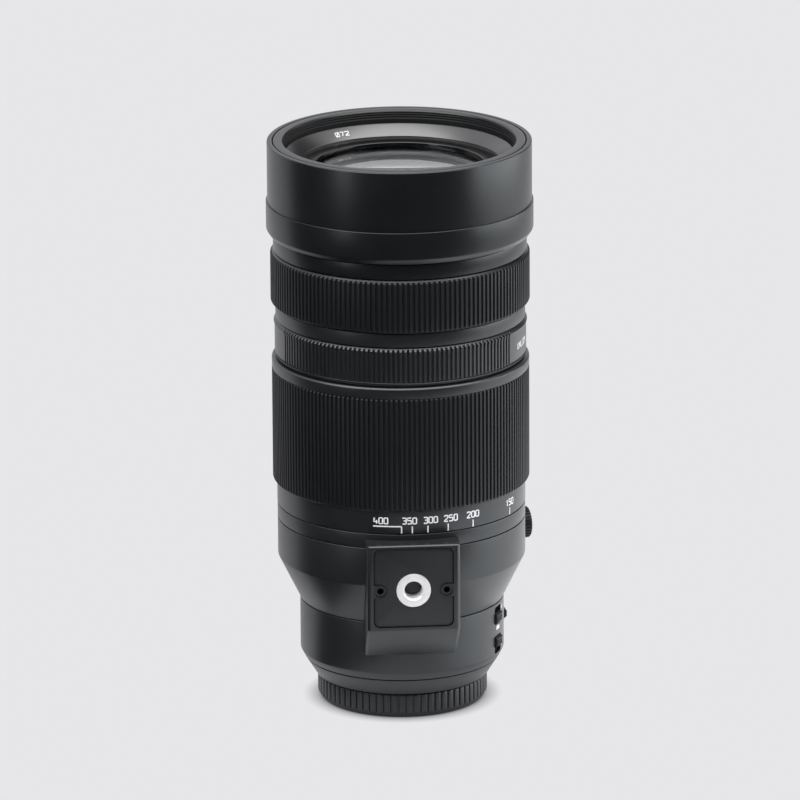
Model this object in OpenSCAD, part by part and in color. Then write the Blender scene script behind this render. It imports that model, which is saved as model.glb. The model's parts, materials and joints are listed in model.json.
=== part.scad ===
// Telephoto zoom lens standing on its rear cap, in millimetres.
// The optical axis is +Z, z = 0 is the bottom of the cap, and the tripod foot faces -Y.
// Angles run round +Z from the foot, so that 90 degrees is +X.

/* [Fits] */
// Gap between pieces that move on each other
run_gap = 0.3; // [0.2:0.05:0.4]
// Gap between pieces that are fixed together
fit_gap = 0.1; // [0.05:0.05:0.15]

/* [Rear cap and mount] */
// Diameter of the mount flange
mount_d = 52; // [50:0.5:56]
// Thickness of the mount flange
mount_h = 2.5; // [2:0.1:3]
// Outside diameter of the bayonet tube
throat_d = 37.8; // [36:0.2:39]
// Wall of the bayonet tube
throat_wall = 1.5; // [1.2:0.1:2]
// How far the bayonet tube stands out of the flange
throat_h = 4.5; // [4:0.1:5]
// Reach of a bayonet claw beyond the tube
claw_reach = 1.9; // [1.5:0.1:2.2]
// Thickness of a bayonet claw
claw_h = 1.5; // [1:0.1:1.8]
// Angle that one claw covers
claw_angle = 44; // [36:1:48]
// Height of the rear cap
cap_h = 7.7; // [7:0.1:9]
// How far the cap stands out beyond the mount flange
cap_over = 0.6; // [0.3:0.1:1.5]
// Thickness of the cap's floor
cap_floor = 1.6; // [1.2:0.1:2]
// Wall of the cap
cap_wall = 1.6; // [1.3:0.1:2]
// Radius of the cap's bottom edge
cap_edge = 1.4; // [0.8:0.1:1.5]
// Number of grip ribs on the cap
cap_ribs = 72; // [48:1:90]

/* [Rear barrel] */
// Diameter of the rear barrel
rear_d = 63.9; // [62:0.1:68]
// Wall of the rear barrel
rear_wall = 1.2; // [1:0.1:1.6]
// Height of the rear barrel
rear_h = 18.9; // [18.5:0.1:24]
// Height of the tapered tail cover
tail_h = 5.6; // [5:0.1:8]
// Step from the rear barrel in to the tail cover
tail_step = 1.5; // [0.5:0.1:2]
// Height of the slope at the rear barrel's lower edge
rear_slope_h = 2.3; // [1:0.1:2.5]
// Thickness of the tail cover at its rear edge
tail_rim = 1; // [0.6:0.1:1.5]
// Wall of the sleeve that the collar turns on
journal_wall = 1.5; // [1.2:0.1:2]

/* [Switches] */
// Height of a switch button along the barrel
button_h = 3.6; // [3.2:0.1:4]
// Width of a switch button around the barrel
button_w = 4.8; // [4:0.1:6]
// How far the paired buttons stand out of the barrel
button_rise = 0.7; // [0.5:0.1:1.2]
// How far the single button stands out of the barrel
side_rise = 1.2; // [0.8:0.1:1.6]
// Travel of a switch button
switch_travel = 1.6; // [1.2:0.1:2]
// Height of the lower switches' slot centre above the rear barrel's lower edge
switch_low = 5.6; // [5.2:0.1:6]
// Step between the upper and the lower switch
switch_step = 9.4; // [9:0.1:9.6]
// Step from the lower switch up to the single switch
side_step = 4.1; // [3:0.1:6]
// Angle of the column with two switches
switch_angle = 65; // [58:1:70]
// Angle between the switch columns
switch_spread = 31; // [28:1:40]

/* [Tripod collar and foot] */
// Height of the collar
collar_h = 25.9; // [25:0.1:30]
// Height of the collar's cone
cone_h = 13.9; // [10:0.1:14.5]
// Wall of the collar
collar_wall = 2.4; // [2:0.1:3]
// How far the foot's face stands out of the collar
foot_rise = 5.8; // [5.5:0.1:9]
// Width of the foot where it leaves the collar
foot_w = 29.8; // [28:0.1:34]
// Side chamfer of the foot
foot_chamfer = 1.3; // [0.5:0.1:2]
// Height of the foot's face
foot_face_h = 27.4; // [26.5:0.1:30]
// How far the foot reaches over the index ring
foot_over = 3.1; // [2:0.1:3.8]
// Height of the sloping lower end of the foot
foot_slope_h = 11.6; // [9:0.1:12.5]
// Width of the foot's panel
pad_w = 24.5; // [23.5:0.1:25.5]
// Height of the foot's panel
pad_h = 25.2; // [24:0.1:25.3]
// Thickness of the foot's panel
pad_t = 1.1; // [0.8:0.1:1.4]
// How deep the panel lies below the foot's face
pad_sink = 0.5; // [0.2:0.1:0.8]
// Corner radius of the panel
pad_corner = 2; // [1:0.1:3]
// Outside diameter of the tripod socket
socket_d = 10.8; // [9:0.1:12]
// Thread diameter of the tripod socket
socket_thread_d = 6.35; // [6:0.05:6.5]
// Depth of the tripod socket behind the foot's panel
socket_depth = 4; // [3:0.1:4]
// Spacing of the two guide pin holes
pin_spacing = 20.6; // [19.5:0.1:21]
// Diameter of a guide pin hole
pin_d = 2.4; // [2:0.1:2.6]
// Width of the half-round lug round a guide pin hole
lug_w = 4.2; // [3.6:0.1:4.4]
// Angle of the collar's lock knob
knob_angle = 103; // [95:1:120]
// Diameter of the lock knob
knob_d = 10; // [8:0.1:10.4]
// Height of the lock knob
knob_h = 2.7; // [2.5:0.1:6]
// Diameter of the lock knob's screw
knob_screw_d = 4; // [3:0.1:5]

/* [Rings] */
// Diameter of the main barrel under the rings
barrel_d = 73.4; // [72.4:0.1:78]
// Wall of the main barrel
barrel_wall = 1.8; // [1.7:0.1:2]
// Height of the fixed index ring
index_h = 4.5; // [4.2:0.1:8]
// Wall of the index ring
index_wall = 1.95; // [1.5:0.05:2.5]
// Height of the zoom scale
scale_h = 7.1; // [7:0.1:12]
// Wall of the zoom ring at its scale
zoom_wall = 1.8; // [1.6:0.1:2.5]
// Height of the zoom grip, with its plain front lip
grip_h = 40; // [38:0.5:50]
// Height of the zoom grip's plain front lip
grip_lip_h = 3.4; // [2:0.1:6]
// Thickness of the zoom grip and the focus grip
grip_t = 1.2; // [1:0.1:1.6]
// Bevel at the rear edge of the zoom grip
grip_bevel = 0.9; // [0.5:0.1:1.5]
// Depth of the grooves between grip ribs
rib_depth = 0.5; // [0.3:0.05:0.7]
// Number of ribs round the zoom grip
zoom_ribs = 162; // [120:1:180]
// Number of ribs round the focus grip
focus_ribs = 154; // [120:1:180]
// Height of the zoom lock ring
lock_h = 12.2; // [11:0.1:16]
// Wall of the zoom lock ring
lock_wall = 2.15; // [1.8:0.05:2.6]
// Thickness of the lock ring's ribbed sleeve
lock_grip_t = 0.9; // [0.8:0.05:1.1]
// Depth of the grooves between the lock ring's ribs
lock_rib_depth = 0.4; // [0.2:0.05:0.5]
// Bevel at the rear edge of the lock ring
lock_bevel = 1; // [0.5:0.1:1.5]
// Height of the lock ring's front lip
lock_lip = 1.5; // [1.2:0.1:2.5]
// How far the lock ring's front lip flares out
lock_flare = 0.25; // [0.1:0.05:0.6]
// Angle that one ribbed sector of the lock ring covers
lock_grip_span = 124; // [90:1:140]
// Angle of the middle of the lock ring's ribbed sector
lock_grip_angle = -8; // [-20:1:20]
// Height of the collar behind the focus ring
middle_h = 4.2; // [3:0.1:8]
// Wall of the collar behind the focus ring
middle_wall = 2.05; // [1.5:0.05:2.5]
// Height of the focus ring
focus_h = 16.9; // [14:0.1:24]
// Wall of the focus ring under its grip
focus_wall = 2; // [1.6:0.1:2.5]
// Bevel at each end of the focus ring
focus_bevel = 1; // [0.5:0.1:1.6]
// Height of the collar in front of the focus ring
nose_h = 4.8; // [4:0.1:8]
// Wall of the collar in front of the focus ring
nose_wall = 2.6; // [2:0.1:3]

/* [Front] */
// Diameter of the filter thread
filter_d = 72; // [70:0.5:76]
// Depth of the filter thread
filter_h = 4; // [3:0.1:5]
// Rim of the front head round the filter thread
filter_rim = 3.15; // [2.5:0.05:4]
// Height of the conical ring that holds the front glass
name_ring_h = 4.1; // [4:0.1:6]
// Height of the front glass at its edge
front_glass_h = 3.3; // [3:0.1:4]
// Crown of the front glass
front_glass_crown = 3.6; // [2:0.1:4.5]
// Height of the lens hood
hood_h = 29.1; // [28:0.1:36]
// Wall of the lens hood
hood_wall = 1.6; // [1.3:0.1:2.5]
// Height of the hood's raised band
band_h = 10.2; // [9.5:0.1:13]
// How far the band stands out of the hood
band_rise = 0.45; // [0.2:0.05:0.8]
// Bevel at the rear edge of the band
band_bevel = 1.1; // [0.5:0.1:1.4]
// Wall of the slider inside the hood
slider_wall = 0.45; // [0.4:0.05:0.5]
// Height of the slider inside the hood
slider_h = 6.5; // [5:0.1:7]

/* [Zoom mechanism] */
// Turn of the zoom ring from wide to long
zoom_angle = 105; // [90:1:108]
// Travel of the front barrel
front_travel = 68.5; // [50:0.5:69]
// Travel of the second lens group
variator_travel = 25; // [20:0.5:30]
// Wall of the cam barrel
cam_wall = 1.4; // [1.2:0.1:1.6]
// Wall of the extending tube
tube_wall = 1.4; // [1.2:0.1:1.6]
// Diameter of a cam roller
roller_d = 3; // [2.6:0.1:3.2]
// Depth of the straight guide grooves
groove_depth = 1; // [0.8:0.1:1.1]
// Width of the drive key
key_w = 8; // [6:0.5:9]
// Height of the drive key
key_h = 3; // [2.5:0.1:3.2]

/* [Inner groups] */
// Travel of the focusing group
focus_travel = 6; // [4:0.5:6.5]
// Travel of the stabiliser to each side
ois_travel = 0.6; // [0.4:0.1:0.8]
// Diameter of the rear glass
rear_glass_d = 35.8; // [33:0.1:36]
// Diameter of the focusing glass
focus_glass_d = 29.8; // [26:0.1:32]
// Diameter of the stabiliser glass
ois_glass_d = 29.8; // [26:0.1:32]
// Width of the second group's cell round its glass
variator_wall = 7.1; // [6:0.1:10]
// Width of the inner front cell round its glass
inner_wall = 2.3; // [1.8:0.1:5]
// Diameter of the iris when it is open
iris_d = 31; // [28:0.5:32]
// Number of iris blades
iris_blades_n = 9; // [7:1:9]

/* [Hidden] */
$fn = 360;

// Overlap that keeps cuts clean
cut = 1;
// How far a feature reaches into the solid that it grows from
root = 0.5;
// Chamfer of fine turned edges, and of the ends of rings
fine_edge = 0.3;
ring_edge = 0.5;
// Half width of a grip rib at its crest and at its root, as shares of the pitch
rib_crest = 0.2;
rib_root = 0.34;

// Heights, from the bottom of the cap to the front rim
z_flange = cap_h + run_gap;
z_base = z_flange + mount_h;
z_tail_top = z_flange + tail_h;
z_rear = z_tail_top + run_gap;
z_rear_top = z_rear + rear_h;
z_collar = z_rear_top + run_gap;
z_cone_top = z_collar + cone_h;
z_collar_top = z_collar + collar_h;
z_index = z_collar_top + run_gap;
z_index_top = z_index + index_h;
z_zoom = z_index_top + run_gap;
z_grip = z_zoom + scale_h;
z_zoom_top = z_grip + grip_h;
z_lock = z_zoom_top + run_gap;
z_lock_top = z_lock + lock_h;
z_middle = z_lock_top + run_gap;
z_middle_top = z_middle + middle_h;
z_focus = z_middle_top + run_gap;
z_focus_top = z_focus + focus_h;
z_nose = z_focus_top + run_gap;
z_nose_top = z_nose + nose_h;
z_hood = z_nose_top + run_gap;
z_front = z_hood + hood_h;

// Radii of the rear end
mount_r = mount_d / 2;
throat_r = throat_d / 2;
claw_r = throat_r + claw_reach;
z_throat = z_flange - throat_h;
cap_r = mount_r + cap_over;
cap_root_r = cap_r - rib_depth;
base_h = 2;
base_r = throat_r - throat_wall;
claw_angles = [0, 120, 240];
cap_lip_h = 1;
cap_claw_gap = 0.5;
cap_web_gap = 0.4;
mount_screw_d = 2;
mount_head_d = 3.6;
mount_head_h = 1;
mount_head_sink = 0.2;
mount_screw_r = (mount_r + throat_r) / 2;
mount_screw_angles = [45, 135, 225, 315];
contact_middle = 180;
contact_span = 92;
contact_w = 3;
contact_sink = 0.6;
contact_pin_d = 1.2;
contact_pin_h = 0.5;
contact_pitch = 8;
contact_angles = [for (i = [-5:5]) contact_middle + i * contact_pitch];
tail_land = 0.2;
rear_r = rear_d / 2;
journal_r = rear_r - rear_wall - fit_gap;
journal_in = journal_r - journal_wall;
neck_wall = 1.5;
step_h = 1.5;
step_lift = 0.6;
z_step = z_rear + step_lift;

// Switches as [angle, height of the slot's middle, rise, end of the slot where the button rests]
switch_places = [
  [switch_angle, z_rear + switch_low + switch_step, button_rise, -1],
  [switch_angle, z_rear + switch_low, button_rise, 1],
  [switch_angle + switch_spread, z_rear + switch_low + side_step, side_rise, 1]
];
slot_h = button_h + switch_travel + 2 * run_gap;
button_ribs = 4;
button_groove = 0.3;
button_groove_w = 0.22;
button_slope = 0.8;
stem_w = 2;
stem_gap = 0.2;
board_inset = 2.2;
board_face = journal_in - board_inset;
board_margin = 12;

// Radii of the main barrel and what turns on it
barrel_r = barrel_d / 2;
barrel_in = barrel_r - barrel_wall;
shoulder_h = 2;
ring_in = barrel_r + run_gap;
seat_in = barrel_r + fit_gap;
index_r = seat_in + index_wall;
collar_r = index_r;
collar_in = journal_r + run_gap;
scale_r = ring_in + zoom_wall;
grip_in = scale_r + fit_gap;
grip_r = grip_in + grip_t;
lock_r = ring_in + lock_wall;
lock_seat = lock_r - lock_grip_t - fit_gap;
middle_r = seat_in + middle_wall;
focus_r = ring_in + focus_wall;
focus_grip_in = focus_r + fit_gap;
focus_grip_r = focus_grip_in + grip_t;
nose_r = seat_in + nose_wall;

// Zoom mechanism, from the outside in
cam_r = barrel_in - run_gap;
cam_in = cam_r - cam_wall;
tube_r = cam_in - run_gap;
tube_in = tube_r - tube_wall;
variator_r = tube_in - run_gap;
z_shoulder = z_index + shoulder_h;
nose_cap_h = 1.7;
z_barrel_top = z_nose_top - nose_cap_h - fit_gap;
seal_h = 1.3;
retainer_h = 1.5;
z_seal = z_barrel_top - seal_h;
z_retainer = z_seal - retainer_h;
z_cam = z_shoulder + run_gap;
z_cam_top = z_retainer - run_gap;
slot_d = roller_d + 2 * run_gap;
slot_slices = 24;
slot_segments = 4;
key_lift = 5;
key_skin = 0.5;
key_gap = 0.2;
key_slack = 0.8;
z_key = z_shoulder + key_lift;
z_key_top = z_key + key_h;
groove_land = 1.8;
groove_spare = 0.8;
z_groove = z_key_top + run_gap + groove_land;
z_roller = z_groove + slot_d / 2 + groove_spare;
tube_tail = 1.5;
z_tube = z_roller - roller_d / 2 - tube_tail;
variator_lift = 16;
z_variator_roller = z_roller + variator_lift;
variator_h = 9;
z_variator = z_variator_roller - variator_h / 2;
variator_rim = 3;
variator_seat_h = 5;
variator_glass_h = 3.5;
variator_glass_r = variator_r - variator_wall - fit_gap;
roller_seat = 2;
groove_r = barrel_in + groove_depth;
roller_tip = groove_r - run_gap;
pin_hole_r = roller_d / 2 + fit_gap / 2;
front_angles = [0, 120, 240];
variator_lead = 68;
variator_angles = [for (a = front_angles) a + variator_lead];
pad_angles = [30, 150, 270];
brake_w = 9;
brake_h = 7;
z_brake = z_lock + (lock_h - brake_h) / 2;
sensor_w = 8;
sensor_h = 5;
sensor_angle = 30;
crest_drop = 0.15;
lock_taper = 0.45;
lock_lip_edge = 0.6;
focus_lip = 0.2;
z_sensor = z_focus + (focus_h - sensor_h) / 2;

// Front head and hood
filter_r = filter_d / 2;
head_r = filter_r + filter_rim;
head_lift = 0.2;
z_head = z_hood + head_lift;
z_thread = z_front - filter_h;
z_name = z_thread - name_ring_h;
glass_sink = 2.8;
z_glass_rim = z_name - glass_sink;
z_glass = z_glass_rim - front_glass_h;
name_inset = 0.5;
name_r = filter_r - name_inset;
name_over = 1.5;
name_edge = 0.9;
glass_inset = 3;
glass_r = filter_r - glass_inset;
keeper_over = 6.6;
keeper_step = 3.5;
keeper_drop = 0.3;
keeper_slope = 0.4;
keeper_r = glass_r - keeper_over;
z_keeper = z_glass_rim + crown_at(front_glass_crown, keeper_r / glass_r) + run_gap;
front_glass_back = 0.5;
lip_h = 2;
lip_w = 0.5;
z_socket_top = z_glass - lip_h;
lip_r = min(glass_r, tube_in) - lip_w;
hood_in = head_r + run_gap;
hood_r = hood_in + hood_wall;
band_r = hood_r + band_rise;
slider_r = hood_in + slider_wall;
pocket_r = slider_r + run_gap;
hood_lip_h = 1;
z_slider = z_hood + hood_lip_h + run_gap;
inner_cell_h = 7;
inner_lip_h = 1.2;
inner_glass_r = tube_in - 2 * fit_gap - inner_wall;
hood_edge = 0.4;
band_slope = 1.5;

// Foot
foot_face = collar_r + foot_rise;
z_foot_top = z_collar_top + foot_over;
z_foot_face = z_foot_top - foot_face_h;
z_foot_low = z_foot_face - foot_slope_h;
socket_drop = 1;
z_foot_mid = z_foot_top - foot_face_h / 2 - socket_drop;
foot_root = 6;
pin_depth = 3;
pad_back = foot_face - pad_sink - pad_t;
screw_x = 8.5;
screw_d = 2.5;
screw_head_d = 4.4;
screw_head_h = 1.6;
screw_room = 1.5;
boss_margin = 4;
boss_lift = 2;
boss_y = collar_in + screw_room + screw_head_h + fit_gap;
screw_cover = 0.8;
screw_tip = pad_back - screw_cover;
knob_ribs = 28;
knob_rib_depth = 0.35;
knob_boss_wall = 2;
knob_boss_d = knob_screw_d + 2 * knob_boss_wall;
collar_land = 3;
collar_foot = 4;
z_screw = z_collar_top - collar_land - screw_head_d / 2 - run_gap;
cone_inset = 0.5;
knob_drop = 1;
z_knob = z_cone_top + (collar_h - cone_h) / 2 - knob_drop;

// Inner groups in the rear, from the base up
z_cell = z_base + base_h;
cell_wall = 1.5;
rear_glass_r = rear_glass_d / 2;
rear_cell_r = rear_glass_r + fit_gap + cell_wall;
cell_flange_h = 2;
cell_foot_h = 1.2;
cell_seat_h = 8;
cell_over = 2.2;
cell_lip = 1.5;
thin_lip = 1.2;
thin_lip_h = 1;
rear_glass_h = 6.5;
z_cell_top = z_rear_top + cell_over;
rod_d = 2.5;
rod_inset = 4;
rod_r = journal_in - rod_inset;
rod_angles = [150, 330];
board_h = 1.2;
board_gap = 0.5;
z_board = z_step + step_h;
focus_room = 3.5;
z_focus_cell = z_cell_top + focus_room;
focus_cell_h = 6;
focus_glass_h = 3.5;
focus_ear_w = 3;
focus_ear_h = 3;
focus_hub_wall = 1.5;
motor_angle = 240;
motor_w = 9;
motor_inset = 1.5;
coil_w = 8;
iris_room = 2;
z_iris = z_focus_cell + focus_cell_h + focus_travel + iris_room;
iris_plate_h = 1.2;
iris_wall_h = 3.3;
iris_rim = 2;
blade_t = 0.3;
blade_pitch = 0.6;
blade_w = 4;
blade_arc = 72;
blade_lead = 5;
blade_inset = 0.4;
blade_pin_d = 0.9;
blade_pin_room = 1.6;
blade_pin_r = iris_d / 2 + blade_inset + blade_w / 2;
iris_angles = [for (i = [0:iris_blades_n - 1]) i * 360 / iris_blades_n];
z_ois = z_iris + iris_plate_h + iris_wall_h + fit_gap;
ois_frame_h = 2;
ois_slide_h = 1.5;
ois_cell_h = 3.4;
ois_wall = 1.8;
ois_flange_h = 1.2;
ois_glass_h = 2;
ois_room = 0.4;
ois_rim = 1.4;
z_ois_slide = z_ois + ois_frame_h + run_gap;
z_ois_cell = z_ois_slide + ois_slide_h + run_gap;
core_r = journal_in - fit_gap;
ois_cell_r = ois_glass_d / 2 + fit_gap + ois_wall;
ois_slide_in = ois_glass_d / 2 + ois_travel + ois_room;
ois_slide_r = core_r - ois_travel - ois_rim;
ois_flange_r = ois_slide_r - ois_travel - ois_rim;

function polar(r, a) = [r * sin(a), -r * cos(a)];

// True where a rib belongs, when ribs cover two opposite sectors of the given span
function in_sector(a, middle, span) = abs((a - middle + 450) % 180 - 90) <= span / 2;

// Outline of a ribbed ring, plain at its crest radius outside the ribbed sectors
function rib_outline(count, crest, depth, middle = 0, span = 180) = [
  for (i = [0:count - 1])
    let (p = 360 / count, a = i * p, root = crest - depth)
      each in_sector(a, middle, span)
        ? [polar(root, a - p * rib_root), polar(crest, a - p * rib_crest),
           polar(crest, a + p * rib_crest), polar(root, a + p * rib_root)]
        : [polar(crest, a)]
];

// Half width of a cam slot along its turn, for a slot of the given rise
function slot_half(rise) =
  let (turn = zoom_angle * PI / 180 * cam_r)
    slot_d / 2 * sqrt(turn * turn + rise * rise) / rise;

module at_angles(angles) {
  for (a = angles) rotate([0, 0, a]) children();
}

module tube(r_out, r_in, z0, z1) {
  translate([0, 0, z0]) difference() {
    cylinder(r = r_out, h = z1 - z0);
    translate([0, 0, -cut]) cylinder(r = r_in, h = z1 - z0 + 2 * cut);
  }
}

module turned(points) {
  rotate_extrude() polygon(points);
}

// Round bar that points outwards from radius r0 to r1 at height z
module spoke(r0, r1, d, z) {
  translate([0, -r0, z]) rotate([90, 0, 0]) cylinder(d = d, h = r1 - r0);
}

// Block that points outwards from radius r0 to r1, centred on the foot's direction
module block(w, r0, r1, z0, z1) {
  translate([-w / 2, -r1, z0]) cube([w, r1 - r0, z1 - z0]);
}

// Sector of a ring, from angle a0 to a1
module sector(r_out, r_in, z0, z1, a0, a1) {
  rotate([0, 0, a0 - 90]) rotate_extrude(angle = a1 - a0)
    translate([r_in, z0]) square([r_out - r_in, z1 - z0]);
}

module ribbed_tube(outline, r_in, z0, z1) {
  translate([0, 0, z0]) linear_extrude(height = z1 - z0) difference() {
    polygon(outline);
    circle(r = r_in);
  }
}

// Height of a crowned face above its edge, at the share t of its radius
function crown_at(crown, t) = crown * (1 - t * t);

// Lens element of radius r with two crowned faces, whose rear crown just clears the seat at z_seat
module glass(r, z_seat, h, crown_front, crown_back) {
  steps = 12;
  z0 = z_seat + crown_back + fit_gap;
  turned(concat(
    [for (i = [0:steps]) [r * i / steps, z0 - crown_at(crown_back, i / steps)]],
    [for (i = [steps:-1:0]) [r * i / steps, z0 + h + crown_at(crown_front, i / steps)]]
  ));
}

// Rear cap and mount

module rear_cap() {
  web_z = z_throat + claw_h + cap_web_gap;
  web_top = z_flange - run_gap;
  color("#1c1c1d") {
    difference() {
      union() {
        turned([
          [0, 0], [cap_root_r - cap_edge, 0],
          for (a = [0:15:90])
            [cap_root_r - cap_edge * (1 - sin(a)), cap_edge * (1 - cos(a))],
          [cap_root_r, cap_h], [0, cap_h]
        ]);
        ribbed_tube(rib_outline(cap_ribs, cap_r, rib_depth), cap_root_r - root, cap_edge + fit_gap,
          cap_h - cap_lip_h);
      }
      translate([0, 0, cap_floor]) cylinder(r = cap_root_r - cap_wall, h = cap_h);
    }
    tube(cap_root_r - cap_wall / 2, claw_r + cap_claw_gap, web_z, web_top);
    at_angles(claw_angles)
      sector(claw_r + cap_claw_gap + root, throat_r + cap_claw_gap, web_z, web_top,
        -claw_angle / 2, claw_angle / 2);
  }
}

// Holes of the given depth from the mount's face
module mount_holes(d, h) {
  at_angles(mount_screw_angles)
    translate([0, -mount_screw_r, z_flange - cut]) cylinder(d = d, h = h + cut);
}

module mount_plate() {
  color("#c9cacc") difference() {
    union() {
      tube(mount_r, base_r, z_flange, z_base);
      tube(throat_r, base_r, z_throat, z_flange + fit_gap);
      at_angles(claw_angles)
        sector(claw_r, base_r + root, z_throat, z_throat + claw_h, -claw_angle / 2, claw_angle / 2);
    }
    mount_holes(mount_screw_d + fit_gap, mount_h + cut);
    mount_holes(mount_head_d + fit_gap, mount_head_sink + mount_head_h);
  }
}

module mount_screws() {
  color("#8f9194") at_angles(mount_screw_angles)
    translate([0, -mount_screw_r, z_flange + mount_head_sink]) {
      cylinder(d = mount_head_d, h = mount_head_h);
      cylinder(d = mount_screw_d, h = mount_h + base_h - mount_head_sink);
    }
}

module contact_block() {
  color("#202022") sector(base_r - fit_gap, base_r - contact_w, z_throat + contact_sink,
    z_base + base_h, contact_middle - contact_span / 2, contact_middle + contact_span / 2);
}

module contact_pins() {
  color("#d8b25a") at_angles(contact_angles)
    translate([0, -(base_r - contact_w / 2), z_throat + contact_sink - contact_pin_h])
      cylinder(d = contact_pin_d, h = contact_pin_h);
}

module tail_cover() {
  tail_in = mount_r + fit_gap;
  z_low = z_flange + fit_gap;
  color("#222223") turned([
    [tail_in, z_low], [tail_in + tail_rim, z_low], [rear_r - tail_step, z_tail_top - tail_land],
    [rear_r - tail_step, z_tail_top], [tail_in, z_tail_top]
  ]);
}

// Rear barrel and switches

module rear_barrel() {
  color("#242425") difference() {
    turned([
      [mount_r + fit_gap, z_rear], [rear_r - tail_step + fine_edge, z_rear],
      [rear_r, z_rear + rear_slope_h], [rear_r, z_rear_top], [rear_r - rear_wall, z_rear_top],
      [rear_r - rear_wall, z_step - fit_gap], [mount_r + fit_gap, z_step - fit_gap]
    ]);
    for (s = switch_places)
      rotate([0, 0, s[0]])
        block(button_w + 2 * run_gap, journal_r - cut, rear_r + cut, s[1] - slot_h / 2,
          s[1] + slot_h / 2);
  }
}

// Ribbed button with sloping ends that rests at an end of its slot, with a stem to the board
module slide_switch(place) {
  z_mid = place[1] + place[3] * switch_travel / 2;
  z_low = z_mid - button_h / 2;
  z_high = z_mid + button_h / 2;
  button_r = rear_r + place[2];
  slope = place[2] * button_slope;
  button_in = journal_r + run_gap;
  rib_pitch = (button_h - 2 * slope) / button_ribs;
  rotate([0, 0, place[0]]) {
    difference() {
      translate([-button_w / 2, 0, 0]) rotate([90, 0, 90]) linear_extrude(height = button_w)
        polygon([
          [-button_in, z_low], [-rear_r, z_low], [-button_r, z_low + slope],
          [-button_r, z_high - slope], [-rear_r, z_high], [-button_in, z_high]
        ]);
      for (i = [1:button_ribs - 1])
        translate([0, 0, z_low + slope + i * rib_pitch])
          block(button_w + 2 * cut, button_r - button_groove, button_r + cut,
            -button_groove_w / 2, button_groove_w / 2);
    }
    block(stem_w, board_face + stem_gap, button_in + root, z_mid - stem_w / 2, z_mid + stem_w / 2);
  }
}

module focus_mode_switch() {
  color("#2b2b2c") slide_switch(switch_places[0]);
}

module focus_range_switch() {
  color("#2b2b2c") slide_switch(switch_places[1]);
}

module stabiliser_switch() {
  color("#2b2b2c") slide_switch(switch_places[2]);
}

module switch_board() {
  color("#1f5a35") sector(board_face, board_face - board_h, z_board + board_h, z_rear_top,
    switch_angle - board_margin, switch_angle + switch_spread + board_margin);
}

module main_board() {
  color("#1f5a35") tube(core_r, rear_cell_r + board_gap, z_board, z_board + board_h);
}

// Main barrel

module main_barrel() {
  key_half = asin(key_w / 2 / barrel_r) + key_slack;
  color("#6d6f72") difference() {
    turned([
      [base_r, z_base], [mount_r, z_base], [mount_r, z_step], [journal_r, z_step],
      [journal_r, z_index], [barrel_r, z_index], [barrel_r, z_barrel_top],
      [barrel_in, z_barrel_top], [barrel_in, z_shoulder], [journal_in, z_shoulder],
      [journal_in, z_board], [mount_r - neck_wall, z_board], [mount_r - neck_wall, z_cell],
      [base_r, z_cell]
    ]);
    mount_holes(mount_screw_d + fit_gap, mount_h + base_h + cut);
    at_angles(concat(front_angles, variator_angles))
      block(slot_d, barrel_in - cut, groove_r, z_groove, z_barrel_top + cut);
    sector(barrel_r + cut, barrel_in - cut, z_key - run_gap, z_key_top + run_gap,
      -key_half, zoom_angle + key_half);
    at_angles(pad_angles)
      block(brake_w + 2 * fit_gap, barrel_in - cut, barrel_r + cut, z_brake - fit_gap,
        z_brake + brake_h + fit_gap);
    rotate([0, 0, sensor_angle])
      block(sensor_w + 2 * fit_gap, barrel_in - cut, barrel_r + cut, z_sensor - fit_gap,
        z_sensor + sensor_h + fit_gap);
    for (s = switch_places)
      rotate([0, 0, s[0]])
        block(stem_w + 2 * run_gap, journal_in - cut, journal_r + cut,
          s[1] - slot_h / 2 + (button_h - stem_w) / 2, s[1] + slot_h / 2 - (button_h - stem_w) / 2);
  }
}

// Tripod collar and foot

// Everything that the foot block has to clear, as one turned body
module foot_clearance() {
  turned([
    [0, z_foot_low - cut], [rear_r + run_gap, z_foot_low - cut], [rear_r + run_gap, z_collar],
    [collar_r + fit_gap / 2, z_cone_top], [collar_r + fit_gap / 2, z_collar_top],
    [index_r + run_gap, z_collar_top], [index_r + run_gap, z_foot_top + cut],
    [0, z_foot_top + cut]
  ]);
}

module foot_screw_holes(d) {
  for (x = [-screw_x, screw_x])
    translate([x, 0, z_screw]) spoke(collar_in - cut, screw_tip + fit_gap, d, 0);
}

module tripod_collar() {
  shell_in = collar_r - collar_wall;
  color("#252526") difference() {
    union() {
      turned([
        [collar_in, z_collar], [rear_r, z_collar], [collar_r, z_cone_top], [collar_r, z_collar_top],
        [collar_in, z_collar_top], [collar_in, z_collar_top - collar_land],
        [shell_in, z_collar_top - collar_land], [shell_in, z_cone_top + cone_inset],
        [collar_in, z_collar + collar_foot]
      ]);
      intersection() {
        cylinder(r = collar_r - collar_wall / 2, h = z_collar_top);
        block(2 * (screw_x + boss_margin), boss_y, collar_r, z_cone_top + boss_lift,
          z_collar_top - collar_land / 2);
      }
      rotate([0, 0, knob_angle])
        spoke(collar_in + fit_gap, collar_r - collar_wall / 2, knob_boss_d, z_knob);
    }
    foot_screw_holes(screw_d + fit_gap);
    for (x = [-screw_x, screw_x])
      translate([x, 0, z_screw]) spoke(collar_in, boss_y, screw_head_d + fit_gap, 0);
    rotate([0, 0, knob_angle])
      spoke(collar_in - cut, collar_r + cut, knob_screw_d + run_gap, z_knob);
  }
}

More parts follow.
